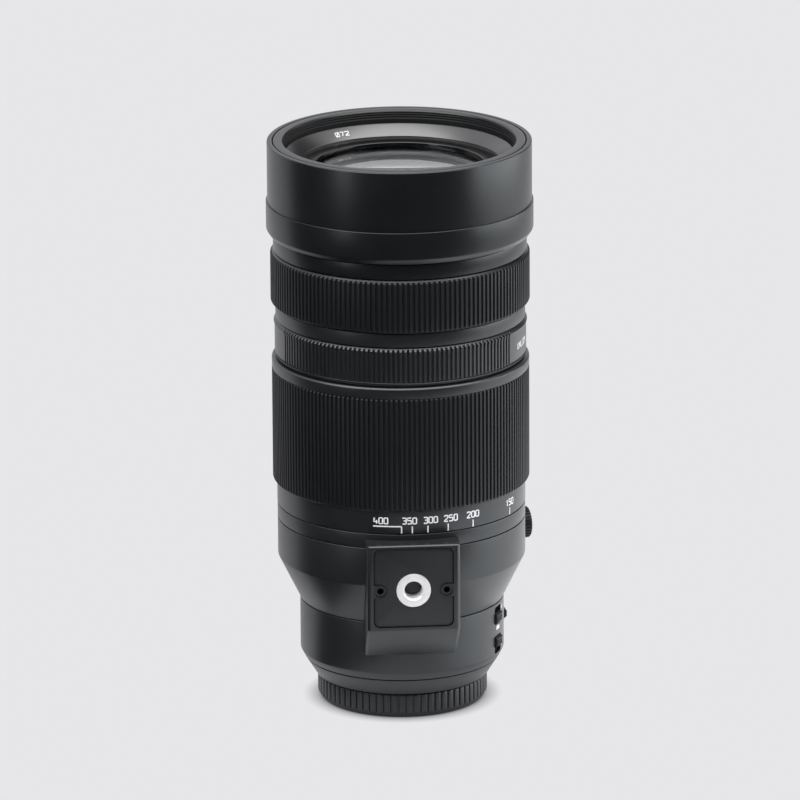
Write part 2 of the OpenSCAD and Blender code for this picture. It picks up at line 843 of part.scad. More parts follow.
module foot_block() {
  color("#252526") difference() {
    intersection() {
      translate([-foot_w / 2, 0, 0]) rotate([90, 0, 90]) linear_extrude(height = foot_w) polygon([
        [-collar_in, z_foot_top], [-foot_face, z_foot_top], [-foot_face, z_foot_face],
        [-foot_face + foot_slope_h, z_foot_low], [-collar_in + foot_root, z_foot_low],
        [-collar_in + foot_root, z_foot_top]
      ]);
      translate([0, 0, z_foot_low - cut]) linear_extrude(height = z_foot_top - z_foot_low + 2 * cut)
        polygon([
          [-foot_w / 2, 0], [-foot_w / 2, -foot_face + foot_chamfer],
          [-foot_w / 2 + foot_chamfer, -foot_face], [foot_w / 2 - foot_chamfer, -foot_face],
          [foot_w / 2, -foot_face + foot_chamfer], [foot_w / 2, 0]
        ]);
    }
    foot_clearance();
    foot_screw_holes(screw_d + fit_gap);
    panel_shape(fit_gap, pad_back - fit_gap / 2, foot_face + cut);
    translate([0, 0, z_foot_mid])
      spoke(pad_back - socket_depth, foot_face, socket_d + fit_gap, 0);
    for (x = [-1, 1])
      translate([x * pin_spacing / 2, 0, z_foot_mid]) spoke(pad_back - pin_depth, foot_face, pin_d, 0);
  }
}

module foot_screws() {
  color("#8f9194") for (x = [-screw_x, screw_x])
    translate([x, 0, z_screw]) {
      spoke(boss_y - screw_head_h - fit_gap, boss_y - fit_gap, screw_head_d, 0);
      spoke(boss_y - fit_gap - root, screw_tip, screw_d, 0);
    }
}

// Rounded panel outline at the foot's face, grown by the given gap, from radius r0 to r1
module panel_shape(grow, r0, r1) {
  w = pad_w + 2 * grow;
  h = pad_h + 2 * grow;
  c = pad_corner;
  z_mid = z_foot_top - foot_face_h / 2;
  translate([0, -r0, z_mid]) rotate([90, 0, 0]) linear_extrude(height = r1 - r0) {
    square([w - 2 * c, h], center = true);
    square([w, h - 2 * c], center = true);
    for (x = [-1, 1], y = [-1, 1])
      translate([x * (w / 2 - c), y * (h / 2 - c)]) circle(r = c);
  }
}

module foot_panel() {
  r1 = pad_back + pad_t;
  color("#2a2a2b") difference() {
    panel_shape(0, pad_back, r1);
    translate([0, 0, z_foot_mid]) spoke(pad_back - cut, r1 + cut, socket_d + fit_gap, 0);
    for (x = [-1, 1])
      translate([x * pin_spacing / 2, 0, z_foot_mid]) {
        spoke(pad_back - cut, r1 + cut, lug_w, 0);
        translate([x * pad_w / 4, 0, 0])
          block(pad_w / 2, pad_back - cut, r1 + cut, -lug_w / 2, lug_w / 2);
      }
  }
}

module tripod_socket() {
  color("#d2d3d5") translate([0, 0, z_foot_mid]) difference() {
    spoke(pad_back - socket_depth + fit_gap / 2, pad_back + pad_t, socket_d, 0);
    spoke(pad_back - socket_depth - cut, pad_back + pad_t + cut, socket_thread_d, 0);
  }
}

module lock_knob() {
  color("#1f1f20") rotate([0, 0, knob_angle]) {
    translate([0, -(collar_r + run_gap), z_knob]) rotate([90, 0, 0])
      linear_extrude(height = knob_h) polygon(rib_outline(knob_ribs, knob_d / 2, knob_rib_depth));
    spoke(journal_r + run_gap, collar_r + run_gap + root, knob_screw_d, z_knob);
  }
}

// Rings on the main barrel

module index_ring() {
  color("#262627") tube(index_r, seat_in, z_index, z_index_top);
}

module zoom_ring() {
  lip_z = z_zoom_top - grip_lip_h;
  color("#252526") difference() {
    turned([
      [ring_in, z_zoom], [scale_r, z_zoom], [scale_r, z_grip],
      [grip_r - rib_depth - fine_edge, z_grip], [grip_r - crest_drop, z_grip + grip_bevel],
      [scale_r, z_grip + grip_bevel], [scale_r, lip_z], [grip_r, lip_z],
      [grip_r, z_zoom_top - ring_edge], [grip_r - ring_edge, z_zoom_top], [ring_in, z_zoom_top]
    ]);
    block(key_w + 2 * fit_gap, barrel_r, scale_r - key_skin, z_key - fit_gap, z_key_top + fit_gap);
  }
}

module zoom_grip() {
  color("#1b1b1c") ribbed_tube(rib_outline(zoom_ribs, grip_r, rib_depth), grip_in,
    z_grip + grip_bevel + fit_gap, z_zoom_top - grip_lip_h - fit_gap);
}

module zoom_drive_key() {
  color("#a9abae") block(key_w, cam_in + key_gap, scale_r - key_skin - fit_gap, z_key, z_key_top);
}

// Helical slot that lifts a roller by the given rise as the zoom ring turns, with room for the roller
// beyond each end of its travel
module cam_slot(z0, rise) {
  half = slot_half(rise);
  over = slot_d / 2;
  over_angle = zoom_angle * over / rise;
  translate([0, 0, z0 - over]) rotate([0, 0, over_angle])
    linear_extrude(height = rise + 2 * over, twist = zoom_angle + 2 * over_angle,
      slices = slot_slices, segments = slot_segments)
      translate([-half, -cam_r - cut]) square([2 * half, cam_wall + 2 * cut]);
}

module cam_barrel() {
  color("#9a9c9f") difference() {
    tube(cam_r, cam_in, z_cam, z_cam_top);
    at_angles(front_angles) cam_slot(z_roller, front_travel);
    at_angles(variator_angles) cam_slot(z_variator_roller, variator_travel);
    block(key_w + 2 * fit_gap, cam_in - cut, cam_r + cut, z_key - fit_gap, z_key_top + fit_gap);
  }
}

module cam_retaining_ring() {
  color("#55575a") tube(barrel_in - fit_gap, cam_in, z_retainer, z_seal);
}

module zoom_lock_ring() {
  color("#242425") turned([
    [ring_in, z_lock], [lock_r - lock_taper, z_lock], [lock_r - fit_gap, z_lock + lock_bevel],
    [lock_seat, z_lock + lock_bevel], [lock_seat, z_lock_top - lock_lip],
    [lock_r - fit_gap, z_lock_top - lock_lip],
    [lock_r + lock_flare, z_lock_top - lock_lip + ring_edge],
    [lock_r + lock_flare, z_lock_top - lock_lip_edge],
    [lock_r + lock_flare - lock_lip_edge, z_lock_top], [ring_in, z_lock_top]
  ]);
}

module lock_grip() {
  ribs = rib_outline(zoom_ribs, lock_r, lock_rib_depth, lock_grip_angle, lock_grip_span);
  color("#232324") ribbed_tube(ribs, lock_seat + fit_gap, z_lock + lock_bevel + fit_gap,
    z_lock_top - lock_lip - fit_gap);
}

module zoom_brake_pads() {
  color("#4a3b30") at_angles(pad_angles) intersection() {
    tube(barrel_r, barrel_in, z_brake, z_brake + brake_h);
    block(brake_w, barrel_in - cut, barrel_r + cut, z_brake, z_brake + brake_h);
  }
}

module middle_collar() {
  color("#252526") tube(middle_r, seat_in, z_middle, z_middle_top);
}

module focus_ring() {
  color("#252526") turned([
    [ring_in, z_focus], [focus_r + focus_lip, z_focus],
    [focus_grip_r - focus_lip, z_focus + focus_bevel], [focus_r, z_focus + focus_bevel],
    [focus_r, z_focus_top - focus_bevel], [focus_grip_r - focus_lip, z_focus_top - focus_bevel],
    [focus_r + focus_lip, z_focus_top], [ring_in, z_focus_top]
  ]);
}

module focus_grip() {
  color("#1d1d1e") ribbed_tube(rib_outline(focus_ribs, focus_grip_r, rib_depth), focus_grip_in,
    z_focus + focus_bevel + fit_gap, z_focus_top - focus_bevel - fit_gap);
}

module focus_sensor() {
  color("#2d2d30") rotate([0, 0, sensor_angle]) intersection() {
    tube(barrel_r, barrel_in, z_sensor, z_sensor + sensor_h);
    block(sensor_w, barrel_in - cut, barrel_r + cut, z_sensor, z_sensor + sensor_h);
  }
}

module nose_collar() {
  color("#252526") turned([
    [seat_in, z_nose], [nose_r, z_nose], [nose_r, z_nose_top], [tube_r + run_gap, z_nose_top],
    [tube_r + run_gap, z_nose_top - nose_cap_h], [seat_in, z_nose_top - nose_cap_h]
  ]);
}

module dust_seal() {
  color("#161616") tube(barrel_in - fit_gap, tube_r + run_gap, z_seal, z_barrel_top);
}

// Front barrel

module extending_tube() {
  color("#2c2c2d") difference() {
    tube(tube_r, tube_in, z_tube, z_socket_top - fit_gap);
    at_angles(front_angles) spoke(tube_in - cut, tube_r + cut, 2 * pin_hole_r, z_roller);
    at_angles(variator_angles) {
      spoke(tube_in - cut, tube_r + cut, slot_d, z_variator_roller);
      block(slot_d, tube_in - cut, tube_r + cut, z_tube - cut, z_variator_roller);
    }
  }
}

module front_rollers() {
  color("#b99a55") at_angles(front_angles) spoke(tube_in, roller_tip, roller_d, z_roller);
}

module front_head() {
  color("#232324") turned([
    [tube_r + fit_gap, z_head], [head_r - fine_edge, z_head], [head_r, z_head + fine_edge],
    [head_r, z_front - fine_edge], [head_r - fine_edge, z_front], [filter_r + fine_edge, z_front],
    [filter_r, z_front - fine_edge], [filter_r, z_thread], [name_r + fit_gap, z_thread],
    [name_r + fit_gap, z_name], [glass_r + fit_gap, z_name],
    [glass_r + fit_gap, z_glass], [lip_r, z_glass], [lip_r, z_socket_top],
    [tube_r + fit_gap, z_socket_top]
  ]);
}

module front_glass() {
  edge_h = front_glass_h - front_glass_back - fit_gap;
  color("#5d6a86", 0.6) glass(glass_r, z_glass, edge_h, front_glass_crown, front_glass_back);
}

// Conical ring with a stepped lip that keeps the front glass
module name_ring() {
  cone_in = glass_r - name_over;
  z_step_top = z_name + name_edge - keeper_drop;
  color("#151516") turned([
    [keeper_r, z_keeper], [glass_r - fit_gap, z_keeper], [glass_r - fit_gap, z_name + fit_gap],
    [name_r, z_name + fit_gap], [name_r, z_thread], [name_r - fine_edge, z_thread],
    [cone_in, z_name + name_edge], [cone_in, z_step_top],
    [cone_in - keeper_step, z_step_top - keeper_slope], [keeper_r, z_keeper + fine_edge]
  ]);
}

module inner_cell() {
  r = inner_glass_r + fit_gap;
  color("#1a1a1b") turned([
    [r - cell_lip, z_head], [tube_in - fit_gap, z_head], [tube_in - fit_gap, z_head + inner_cell_h],
    [r, z_head + inner_cell_h], [r, z_head + inner_lip_h], [r - cell_lip, z_head + inner_lip_h]
  ]);
}

module inner_glass() {
  crown_front = 1.2;
  crown_back = 0.4;
  edge_h = inner_cell_h - inner_lip_h - crown_back - fit_gap;
  color("#6a6f8c", 0.6)
    glass(inner_glass_r, z_head + inner_lip_h, edge_h, crown_front, crown_back);
}

module hood_slider() {
  color("#151515") tube(slider_r, hood_in, z_slider, z_slider + slider_h);
}

module lens_hood() {
  pocket_top = z_slider + slider_h + run_gap;
  z_band_top = z_hood + band_h;
  color("#242425") turned([
    [hood_in, z_hood], [band_r - band_bevel, z_hood], [band_r, z_hood + band_slope * band_bevel],
    [band_r, z_band_top - fine_edge], [hood_r, z_band_top], [hood_r, z_front - hood_edge],
    [hood_r - hood_edge, z_front], [hood_in + fine_edge, z_front], [hood_in, z_front - fine_edge],
    [hood_in, pocket_top], [pocket_r, pocket_top], [pocket_r, z_hood + hood_lip_h],
    [hood_in, z_hood + hood_lip_h]
  ]);
}

// Second lens group

module variator_cell() {
  r = variator_glass_r + fit_gap;
  z0 = z_variator;
  z1 = z_variator + variator_h;
  z_lip = z0 + cell_lip;
  z_seat = z_lip + variator_seat_h;
  color("#1a1a1b") difference() {
    turned([
      [r - cell_lip, z0], [variator_r, z0], [variator_r, z1], [variator_r - variator_rim, z1],
      [variator_r - variator_rim, z_seat], [r, z_seat], [r, z_lip], [r - cell_lip, z_lip]
    ]);
    at_angles(variator_angles)
      spoke(variator_r - roller_seat, variator_r + cut, 2 * pin_hole_r, z_variator_roller);
  }
}

module variator_glass() {
  crown_front = 1.2;
  crown_back = 0.8;
  color("#7a6f90", 0.6)
    glass(variator_glass_r, z_variator + cell_lip, variator_glass_h, crown_front, crown_back);
}

module variator_rollers() {
  color("#b99a55") at_angles(variator_angles)
    spoke(variator_r - roller_seat + fit_gap, roller_tip, roller_d, z_variator_roller);
}

// Stabiliser, iris, focusing group and rear group

module ois_frame() {
  color("#3a3b3d") tube(core_r, ois_slide_in, z_ois, z_ois + ois_frame_h);
}

module ois_slide() {
  color("#4c4d50") tube(ois_slide_r, ois_slide_in, z_ois_slide, z_ois_slide + ois_slide_h);
}

module ois_cell() {
  r = ois_glass_d / 2 + fit_gap;
  z_lip = z_ois_cell + thin_lip_h;
  z_flange_top = z_ois_cell + ois_flange_h;
  color("#1a1a1b") turned([
    [r - thin_lip, z_ois_cell], [ois_flange_r, z_ois_cell], [ois_flange_r, z_flange_top],
    [ois_cell_r, z_flange_top], [ois_cell_r, z_ois_cell + ois_cell_h],
    [r, z_ois_cell + ois_cell_h], [r, z_lip], [r - thin_lip, z_lip]
  ]);
}

module ois_glass() {
  crown_front = 0.9;
  crown_back = 0.3;
  color("#70809a", 0.6)
    glass(ois_glass_d / 2, z_ois_cell + thin_lip_h, ois_glass_h, crown_front, crown_back);
}

module iris_housing() {
  z_plate = z_iris + iris_plate_h;
  color("#303133") {
    difference() {
      union() {
        tube(core_r, iris_d / 2, z_iris, z_plate);
        tube(core_r, core_r - iris_rim, z_iris, z_plate + iris_wall_h);
      }
      rod_holes(rod_d + fit_gap, z_iris);
    }
    at_angles(iris_angles)
      translate([0, -blade_pin_r, z_iris])
        cylinder(d = blade_pin_d, h = iris_plate_h + iris_wall_h - blade_inset);
  }
}

// Blades folded back round the open iris, in three layers so that none lies in another
module iris_blades() {
  layers = 3;
  r0 = iris_d / 2 + blade_inset;
  color("#0f0f10") for (i = [0:iris_blades_n - 1])
    rotate([0, 0, iris_angles[i]])
      translate([0, 0, z_iris + iris_plate_h + fit_gap + (i % layers) * blade_pitch]) difference() {
        sector(r0 + blade_w, r0, 0, blade_t, -blade_lead, blade_arc);
        blade_hole(0, blade_pin_d + fit_gap);
        blade_hole(iris_angles[1], blade_pin_room);
        blade_hole(iris_angles[2], blade_pin_room);
      }
}

module blade_hole(angle, d) {
  rotate([0, 0, angle]) translate([0, -blade_pin_r, -cut]) cylinder(d = d, h = blade_t + 2 * cut);
}

module rod_holes(d, z0) {
  at_angles(rod_angles)
    translate([0, -rod_r, z0 - cut]) cylinder(d = d, h = focus_cell_h + 2 * cut);
}

module focus_rods() {
  color("#b4b6b9") at_angles(rod_angles)
    translate([0, -rod_r, z_cell_top - cell_flange_h])
      cylinder(d = rod_d, h = z_iris + iris_plate_h - z_cell_top + cell_flange_h);
}

module focus_cell() {
  r = focus_glass_d / 2 + fit_gap;
  z0 = z_focus_cell;
  z1 = z0 + focus_cell_h;
  color("#1a1a1b") difference() {
    union() {
      turned([
        [r - thin_lip, z0], [r + cell_wall, z0], [r + cell_wall, z1], [r, z1],
        [r, z0 + thin_lip_h], [r - thin_lip, z0 + thin_lip_h]
      ]);
      at_angles(rod_angles) {
        block(focus_ear_w, r + root, rod_r, z0, z0 + focus_ear_h);
        translate([0, -rod_r, z0]) cylinder(d = rod_d + 2 * focus_hub_wall, h = focus_cell_h);
      }
      rotate([0, 0, motor_angle])
        block(coil_w, r + root, rod_r - motor_inset, z0, z0 + focus_ear_h);
    }
    rod_holes(rod_d + run_gap, z0);
  }
}

module focus_glass() {
  crown_front = 0.9;
  crown_back = 0.4;
  color("#74889a", 0.6)
    glass(focus_glass_d / 2, z_focus_cell + thin_lip_h, focus_glass_h, crown_front, crown_back);
}

module focus_motor() {
  color("#5a5c60") rotate([0, 0, motor_angle])
    block(motor_w, rod_r - motor_inset + run_gap, core_r - motor_inset, z_cell_top, z_iris);
}

module rear_cell() {
  r = rear_glass_r + fit_gap;
  foot_r = mount_r - neck_wall - fit_gap;
  z_seat = z_cell + cell_seat_h;
  z_rim = z_cell_top - cell_flange_h;
  color("#1a1a1b") difference() {
    turned([
      [r - cell_lip, z_cell], [foot_r, z_cell], [foot_r, z_cell + cell_foot_h],
      [rear_cell_r, z_cell + cell_foot_h], [rear_cell_r, z_rim], [core_r, z_rim],
      [core_r, z_cell_top], [r, z_cell_top], [r, z_seat], [r - cell_lip, z_seat]
    ]);
    at_angles(rod_angles)
      translate([0, -rod_r, z_rim - cut]) cylinder(d = rod_d + fit_gap, h = cell_flange_h + 2 * cut);
  }
}

module rear_glass() {
  crown_front = 1.5;
  crown_back = 0.4;
  color("#7d8fa0", 0.6)
    glass(rear_glass_r, z_cell + cell_seat_h, rear_glass_h, crown_front, crown_back);
}

rear_cap();
mount_plate();
mount_screws();
contact_block();
contact_pins();
tail_cover();
rear_barrel();
focus_mode_switch();
focus_range_switch();
stabiliser_switch();
switch_board();
main_board();
main_barrel();
tripod_collar();
foot_block();
foot_screws();
foot_panel();
tripod_socket();
lock_knob();
index_ring();
zoom_ring();
zoom_grip();
zoom_drive_key();
cam_barrel();
cam_retaining_ring();
zoom_lock_ring();
lock_grip();
zoom_brake_pads();
middle_collar();
focus_ring();
focus_grip();
focus_sensor();
nose_collar();
dust_seal();
extending_tube();
front_rollers();
front_head();
front_glass();
name_ring();
inner_cell();
inner_glass();
hood_slider();
lens_hood();
variator_cell();
variator_glass();
variator_rollers();
ois_frame();
ois_slide();
ois_cell();
ois_glass();
iris_housing();
iris_blades();
focus_cell();
focus_glass();
focus_rods();
focus_motor();
rear_cell();
rear_glass();
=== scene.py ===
"""Looks of a telephoto zoom lens that stands on its rear cap, laid out as an add-on."""
import json
import math

import bmesh
import bpy
from bpy.props import FloatProperty, FloatVectorProperty, IntProperty, PointerProperty
from mathutils import Matrix, Vector


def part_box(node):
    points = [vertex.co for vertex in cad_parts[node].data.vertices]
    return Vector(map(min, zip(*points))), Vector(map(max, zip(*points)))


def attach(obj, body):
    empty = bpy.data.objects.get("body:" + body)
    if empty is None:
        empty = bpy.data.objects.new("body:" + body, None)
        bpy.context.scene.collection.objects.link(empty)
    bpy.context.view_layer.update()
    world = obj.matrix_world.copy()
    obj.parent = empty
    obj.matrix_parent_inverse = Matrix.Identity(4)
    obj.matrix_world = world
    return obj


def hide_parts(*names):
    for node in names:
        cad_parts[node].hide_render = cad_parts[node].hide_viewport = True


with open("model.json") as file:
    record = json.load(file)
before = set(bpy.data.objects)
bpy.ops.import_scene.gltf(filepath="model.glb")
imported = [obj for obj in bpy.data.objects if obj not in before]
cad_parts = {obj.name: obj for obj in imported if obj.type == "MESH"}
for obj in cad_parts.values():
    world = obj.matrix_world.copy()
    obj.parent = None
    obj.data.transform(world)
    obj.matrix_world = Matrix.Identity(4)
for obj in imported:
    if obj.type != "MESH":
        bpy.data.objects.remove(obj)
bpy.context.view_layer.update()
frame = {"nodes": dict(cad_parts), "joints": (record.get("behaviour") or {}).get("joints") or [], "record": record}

bl_info = {
    "name": "Telephoto Zoom Lens",
    "version": (1, 0, 0),
    "blender": (4, 5, 0),
    "location": "3D View > Sidebar > Lens",
    "description": "Models the finishes, marks and fine forms of a telephoto zoom lens",
    "category": "Object",
}

MM = 0.001
AXIS = Vector((0, 0, 1))
CENTRE = Vector((0, 0, 0))
FULL_TURN = 2 * math.pi
QUARTER_TURN = math.pi / 2
SHARP = math.radians(32)
WELD = 0.002 * MM
# Clearances: two faces that all but touch, a hair apart, a close fit and a running fit
FLUSH = 0.02 * MM
HAIR = 0.05 * MM
CLOSE = 0.1 * MM
RUNNING = 0.3 * MM


# Reading the frame

def radius_of(node):
    """Outer radius of a round CAD node."""
    low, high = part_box(node)
    return max(high.x, high.y, -low.x, -low.y)


def heights_of(node):
    """Lowest and highest point of a CAD node."""
    low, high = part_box(node)
    return low.z, high.z


def ring_of(node):
    """Lowest point, highest point and outer radius of a round CAD node."""
    return (*heights_of(node), radius_of(node))


def points_of(node):
    """Vertices of a CAD node."""
    return [vert.co for vert in frame["nodes"][node].data.vertices]


def joint_with(key, value):
    """The joint that has a value under a key."""
    return next(joint for joint in frame["joints"] if joint[key] == value)


def around(radius, angle, height):
    """Point at an angle round the lens, in radians from the foot towards +X."""
    return Vector((radius * math.sin(angle), -radius * math.cos(angle), height))


# Settings

class LensShapes(bpy.types.PropertyGroup):
    """Sizes of the fine forms that are added to the solids."""
    steps: IntProperty(name="Steps", description="Faces round a turned ring", default=288, min=48)
    edge: FloatProperty(
        name="Edge", description="Rounding of turned edges", default=0.16 * MM, unit="LENGTH")
    soft_edge: FloatProperty(
        name="Soft edge", description="Rounding of the larger bevels", default=0.35 * MM, unit="LENGTH")
    rib_depth: FloatProperty(
        name="Rib depth", description="Depth of the grooves in the grips", default=0.5 * MM,
        unit="LENGTH")
    rib_chamfer: FloatProperty(
        name="Rib chamfer", description="Length of the slope at a rib's end", default=0.55 * MM,
        unit="LENGTH")
    zoom_ribs: IntProperty(name="Zoom ribs", description="Ribs round the zoom ring", default=162)
    focus_ribs: IntProperty(name="Focus ribs", description="Ribs round the focus ring", default=154)
    cap_ribs: IntProperty(name="Cap ribs", description="Ribs round the rear cap", default=72)
    knob_ribs: IntProperty(name="Knob ribs", description="Ribs round the lock knob", default=28)
    thread_turns: IntProperty(name="Thread turns", description="Turns of the filter thread", default=3)
    thread_pitch: FloatProperty(
        name="Thread pitch", description="Pitch of the filter thread", default=0.75 * MM, unit="LENGTH")
    thread_depth: FloatProperty(
        name="Thread depth", description="Depth of the filter thread", default=0.26 * MM, unit="LENGTH")
    number_height: FloatProperty(
        name="Number height", description="Height of the numbers on the zoom scale", default=1.88 * MM,
        unit="LENGTH")
    tick_height: FloatProperty(
        name="Tick height", description="Height of the ticks on the zoom scale", default=2.4 * MM,
        unit="LENGTH")
    stroke: FloatProperty(
        name="Stroke", description="Width of printed strokes", default=0.4 * MM, unit="LENGTH")


class LensFinishes(bpy.types.PropertyGroup):
    """Colours and gloss of the finishes."""
    coat: FloatVectorProperty(
        name="Coat", description="Black coat of the metal shells", subtype="COLOR", size=4,
        default=(0.0091, 0.0095, 0.0105, 1))
    coat_roughness: FloatProperty(
        name="Coat roughness", description="Roughness of the black coat", default=0.36, subtype="FACTOR")
    hood_coat: FloatVectorProperty(
        name="Hood coat", description="Smoother black coat of the hood and the front rings",
        subtype="COLOR", size=4, default=(0.0051, 0.0054, 0.006, 1))
    rubber: FloatVectorProperty(
        name="Rubber", description="Ribbed grips", subtype="COLOR", size=4,
        default=(0.0051, 0.0054, 0.006, 1))
    rubber_roughness: FloatProperty(
        name="Rubber roughness", description="Roughness of the grips", default=0.5, subtype="FACTOR")
    plastic: FloatVectorProperty(
        name="Plastic", description="Moulded black plastic", subtype="COLOR", size=4,
        default=(0.0121, 0.0124, 0.0131, 1))
    sheen: FloatVectorProperty(
        name="Sheen", description="Tint of the gloss on the black finishes", subtype="COLOR", size=4,
        default=(0.9, 0.97, 1.0, 1))
    paint: FloatVectorProperty(
        name="Print", description="White printed marks", subtype="COLOR", size=4,
        default=(0.76, 0.76, 0.77, 1))
    bush: FloatVectorProperty(
        name="Bush", description="Bright metal of the tripod bush", subtype="COLOR", size=4,
        default=(0.83, 0.83, 0.83, 1))


class LensStage(bpy.types.PropertyGroup):
    """Background, lamps and camera."""
    backdrop: FloatVectorProperty(
        name="Backdrop", description="Pale colour behind and under the lens", subtype="COLOR", size=4,
        default=(0.799, 0.791, 0.814, 1))
    apron: FloatProperty(
        name="Pale floor in front", description="Where the pale floor meets the dark cloth in front",
        default=200 * MM, unit="LENGTH")
    left_apron: FloatProperty(
        name="Pale floor at the left", default=45 * MM, unit="LENGTH",
        description="Where the pale floor meets the dark cloth at the left")
    card_start: FloatProperty(
        name="Card start", description="Angle at which the dark card begins, from the foot",
        default=math.radians(-112), subtype="ANGLE")
    card_end: FloatProperty(
        name="Card end", description="Angle at which the dark card ends, from the foot",
        default=math.radians(150), subtype="ANGLE")
    card_reach: FloatProperty(
        name="Card distance", description="Distance of the dark card from the lens", default=3.5,
        unit="LENGTH")
    card_height: FloatProperty(
        name="Card height", description="Height of the dark card", default=3.0, unit="LENGTH")
    card_steps: IntProperty(name="Card steps", description="Flat faces of the dark card", default=24)
    # Reach of the painted shadow that ambient occlusion lays on the floor's glow
    shadow: FloatProperty(
        name="Shadow reach", description="How far the shadow at the foot of the lens reaches",
        default=5.5 * MM, unit="LENGTH")
    distance: FloatProperty(
        name="Camera distance", description="Level distance from the optical axis to the camera",
        default=2586.5 * MM, unit="LENGTH")
    height: FloatProperty(
        name="Camera height", description="Height of the camera over the floor", default=859.5 * MM,
        unit="LENGTH")
    turn: FloatProperty(
        name="Camera turn", description="Angle of the camera round the lens, from the foot",
        default=math.radians(-4.75), subtype="ANGLE")
    pitch: FloatProperty(
        name="Camera pitch", description="How far the camera looks down", default=0.2871,
        subtype="ANGLE")
    roll: FloatProperty(
        name="Camera roll", description="Tilt of the picture", default=-0.0061, subtype="ANGLE")
    aside: FloatProperty(
        name="Camera shift", description="Sideways shift of the picture", default=-0.001)
    focal: FloatProperty(name="Focal length", description="Focal length in millimetres", default=388.99)


# Materials

MATERIALS = {}
NOISE_LOW, NOISE_HIGH = 0.3, 0.7
CLOUD_SCALE = 60
COAT_ROUGHNESS = 0.3
GLASS_IOR = 1.52


def set_inputs(node, values):
    """Sets a node's inputs by their names."""
    for name, value in values.items():
        node.inputs[name].default_value = value


def empty_tree(owner):
    """Node tree of a material or world, emptied."""
    owner.use_nodes = True
    owner.node_tree.nodes.clear()
    return owner.node_tree


def new_material(name, color):
    """Material with its node tree and the shader in it."""
    material = bpy.data.materials.new(name)
    material.diffuse_color = color
    tree = empty_tree(material)
    shader = tree.nodes.new("ShaderNodeBsdfPrincipled")
    output = tree.nodes.new("ShaderNodeOutputMaterial")
    tree.links.new(shader.outputs["BSDF"], output.inputs["Surface"])
    return material, tree, shader


def noise(tree, scale, detail):
    """Noise on object coordinates, with its scale in features per metre."""
    texture = tree.nodes.new("ShaderNodeTexNoise")
    set_inputs(texture, {"Scale": scale, "Detail": detail})
    tree.links.new(tree.nodes.new("ShaderNodeTexCoord").outputs["Object"], texture.inputs["Vector"])
    return texture.outputs["Fac"]


def ranged(tree, value, low, high):
    """Maps the middle of a noise to a range."""
    node = tree.nodes.new("ShaderNodeMapRange")
    set_inputs(node, {"From Min": NOISE_LOW, "From Max": NOISE_HIGH, "To Min": low, "To Max": high})
    tree.links.new(value, node.inputs["Value"])
    return node.outputs["Result"]


def toned(tree, value, color, spread):
    """Varies a colour by a share to each side with a noise."""
    ramp = tree.nodes.new("ShaderNodeValToRGB")
    ends = ((NOISE_LOW, 1 - spread), (NOISE_HIGH, 1 + spread))
    for element, (position, share) in zip(ramp.color_ramp.elements, ends):
        element.position = position
        element.color = [min(1.0, channel * share) for channel in color[:3]] + [1]
    tree.links.new(value, ramp.inputs["Fac"])
    return ramp.outputs["Color"]


def bumped(tree, shader, value, depth):
    """Raises the surface by a pattern, with its depth in metres."""
    bump = tree.nodes.new("ShaderNodeBump")
    set_inputs(bump, {"Strength": 1.0, "Distance": depth})
    tree.links.new(value, bump.inputs["Height"])
    tree.links.new(bump.outputs["Normal"], shader.inputs["Normal"])


def grained(name, color, roughness, grain, depth, spread=0.12, specular=0.5, metallic=0.0, coat=0.0,
            sheen=(1, 1, 1, 1)):
    """Surface with a fine grain in height and faint clouding in tone and gloss."""
    material, tree, shader = new_material(name, color)
    gloss_spread = 0.05
    cloud = noise(tree, CLOUD_SCALE, 4)
    fine = noise(tree, grain, 2)
    gloss = ranged(tree, fine, roughness - gloss_spread, roughness + gloss_spread)
    tree.links.new(toned(tree, cloud, color, spread), shader.inputs["Base Color"])
    tree.links.new(gloss, shader.inputs["Roughness"])
    bumped(tree, shader, fine, depth)
    set_inputs(shader, {
        "Metallic": metallic, "Specular IOR Level": specular, "Specular Tint": sheen,
        "Coat Weight": coat, "Coat Roughness": COAT_ROUGHNESS})
    return material


def turned_metal(name, color, centre, axis_turn):
    """Bright metal with fine rings from the lathe about a centre."""
    material, tree, shader = new_material(name, color)
    mapping = tree.nodes.new("ShaderNodeMapping")
    mapping.vector_type = "TEXTURE"
    set_inputs(mapping, {"Location": centre, "Rotation": axis_turn})
    tree.links.new(tree.nodes.new("ShaderNodeTexCoord").outputs["Object"], mapping.inputs["Vector"])
    wave = tree.nodes.new("ShaderNodeTexWave")
    wave.wave_type = "RINGS"
    wave.rings_direction = "Z"
    set_inputs(wave, {"Scale": 1400, "Distortion": 1.5})
    tree.links.new(mapping.outputs["Vector"], wave.inputs["Vector"])
    cloud = noise(tree, 300, 3)
    tree.links.new(toned(tree, cloud, color, 0.05), shader.inputs["Base Color"])
    tree.links.new(ranged(tree, cloud, 0.32, 0.42), shader.inputs["Roughness"])
    bumped(tree, shader, wave.outputs["Fac"], 0.004 * MM)
    set_inputs(shader, {"Metallic": 0.4})
    return material


def clear_glass(name, tint):
    """Coated optical glass with the faintest haze of dust in its gloss."""
    material, tree, shader = new_material(name, tint)
    haze = 0.03
    tree.links.new(ranged(tree, noise(tree, 900, 6), 0, haze), shader.inputs["Roughness"])
    set_inputs(shader, {"Base Color": tint, "Transmission Weight": 1.0, "IOR": GLASS_IOR})
    return material


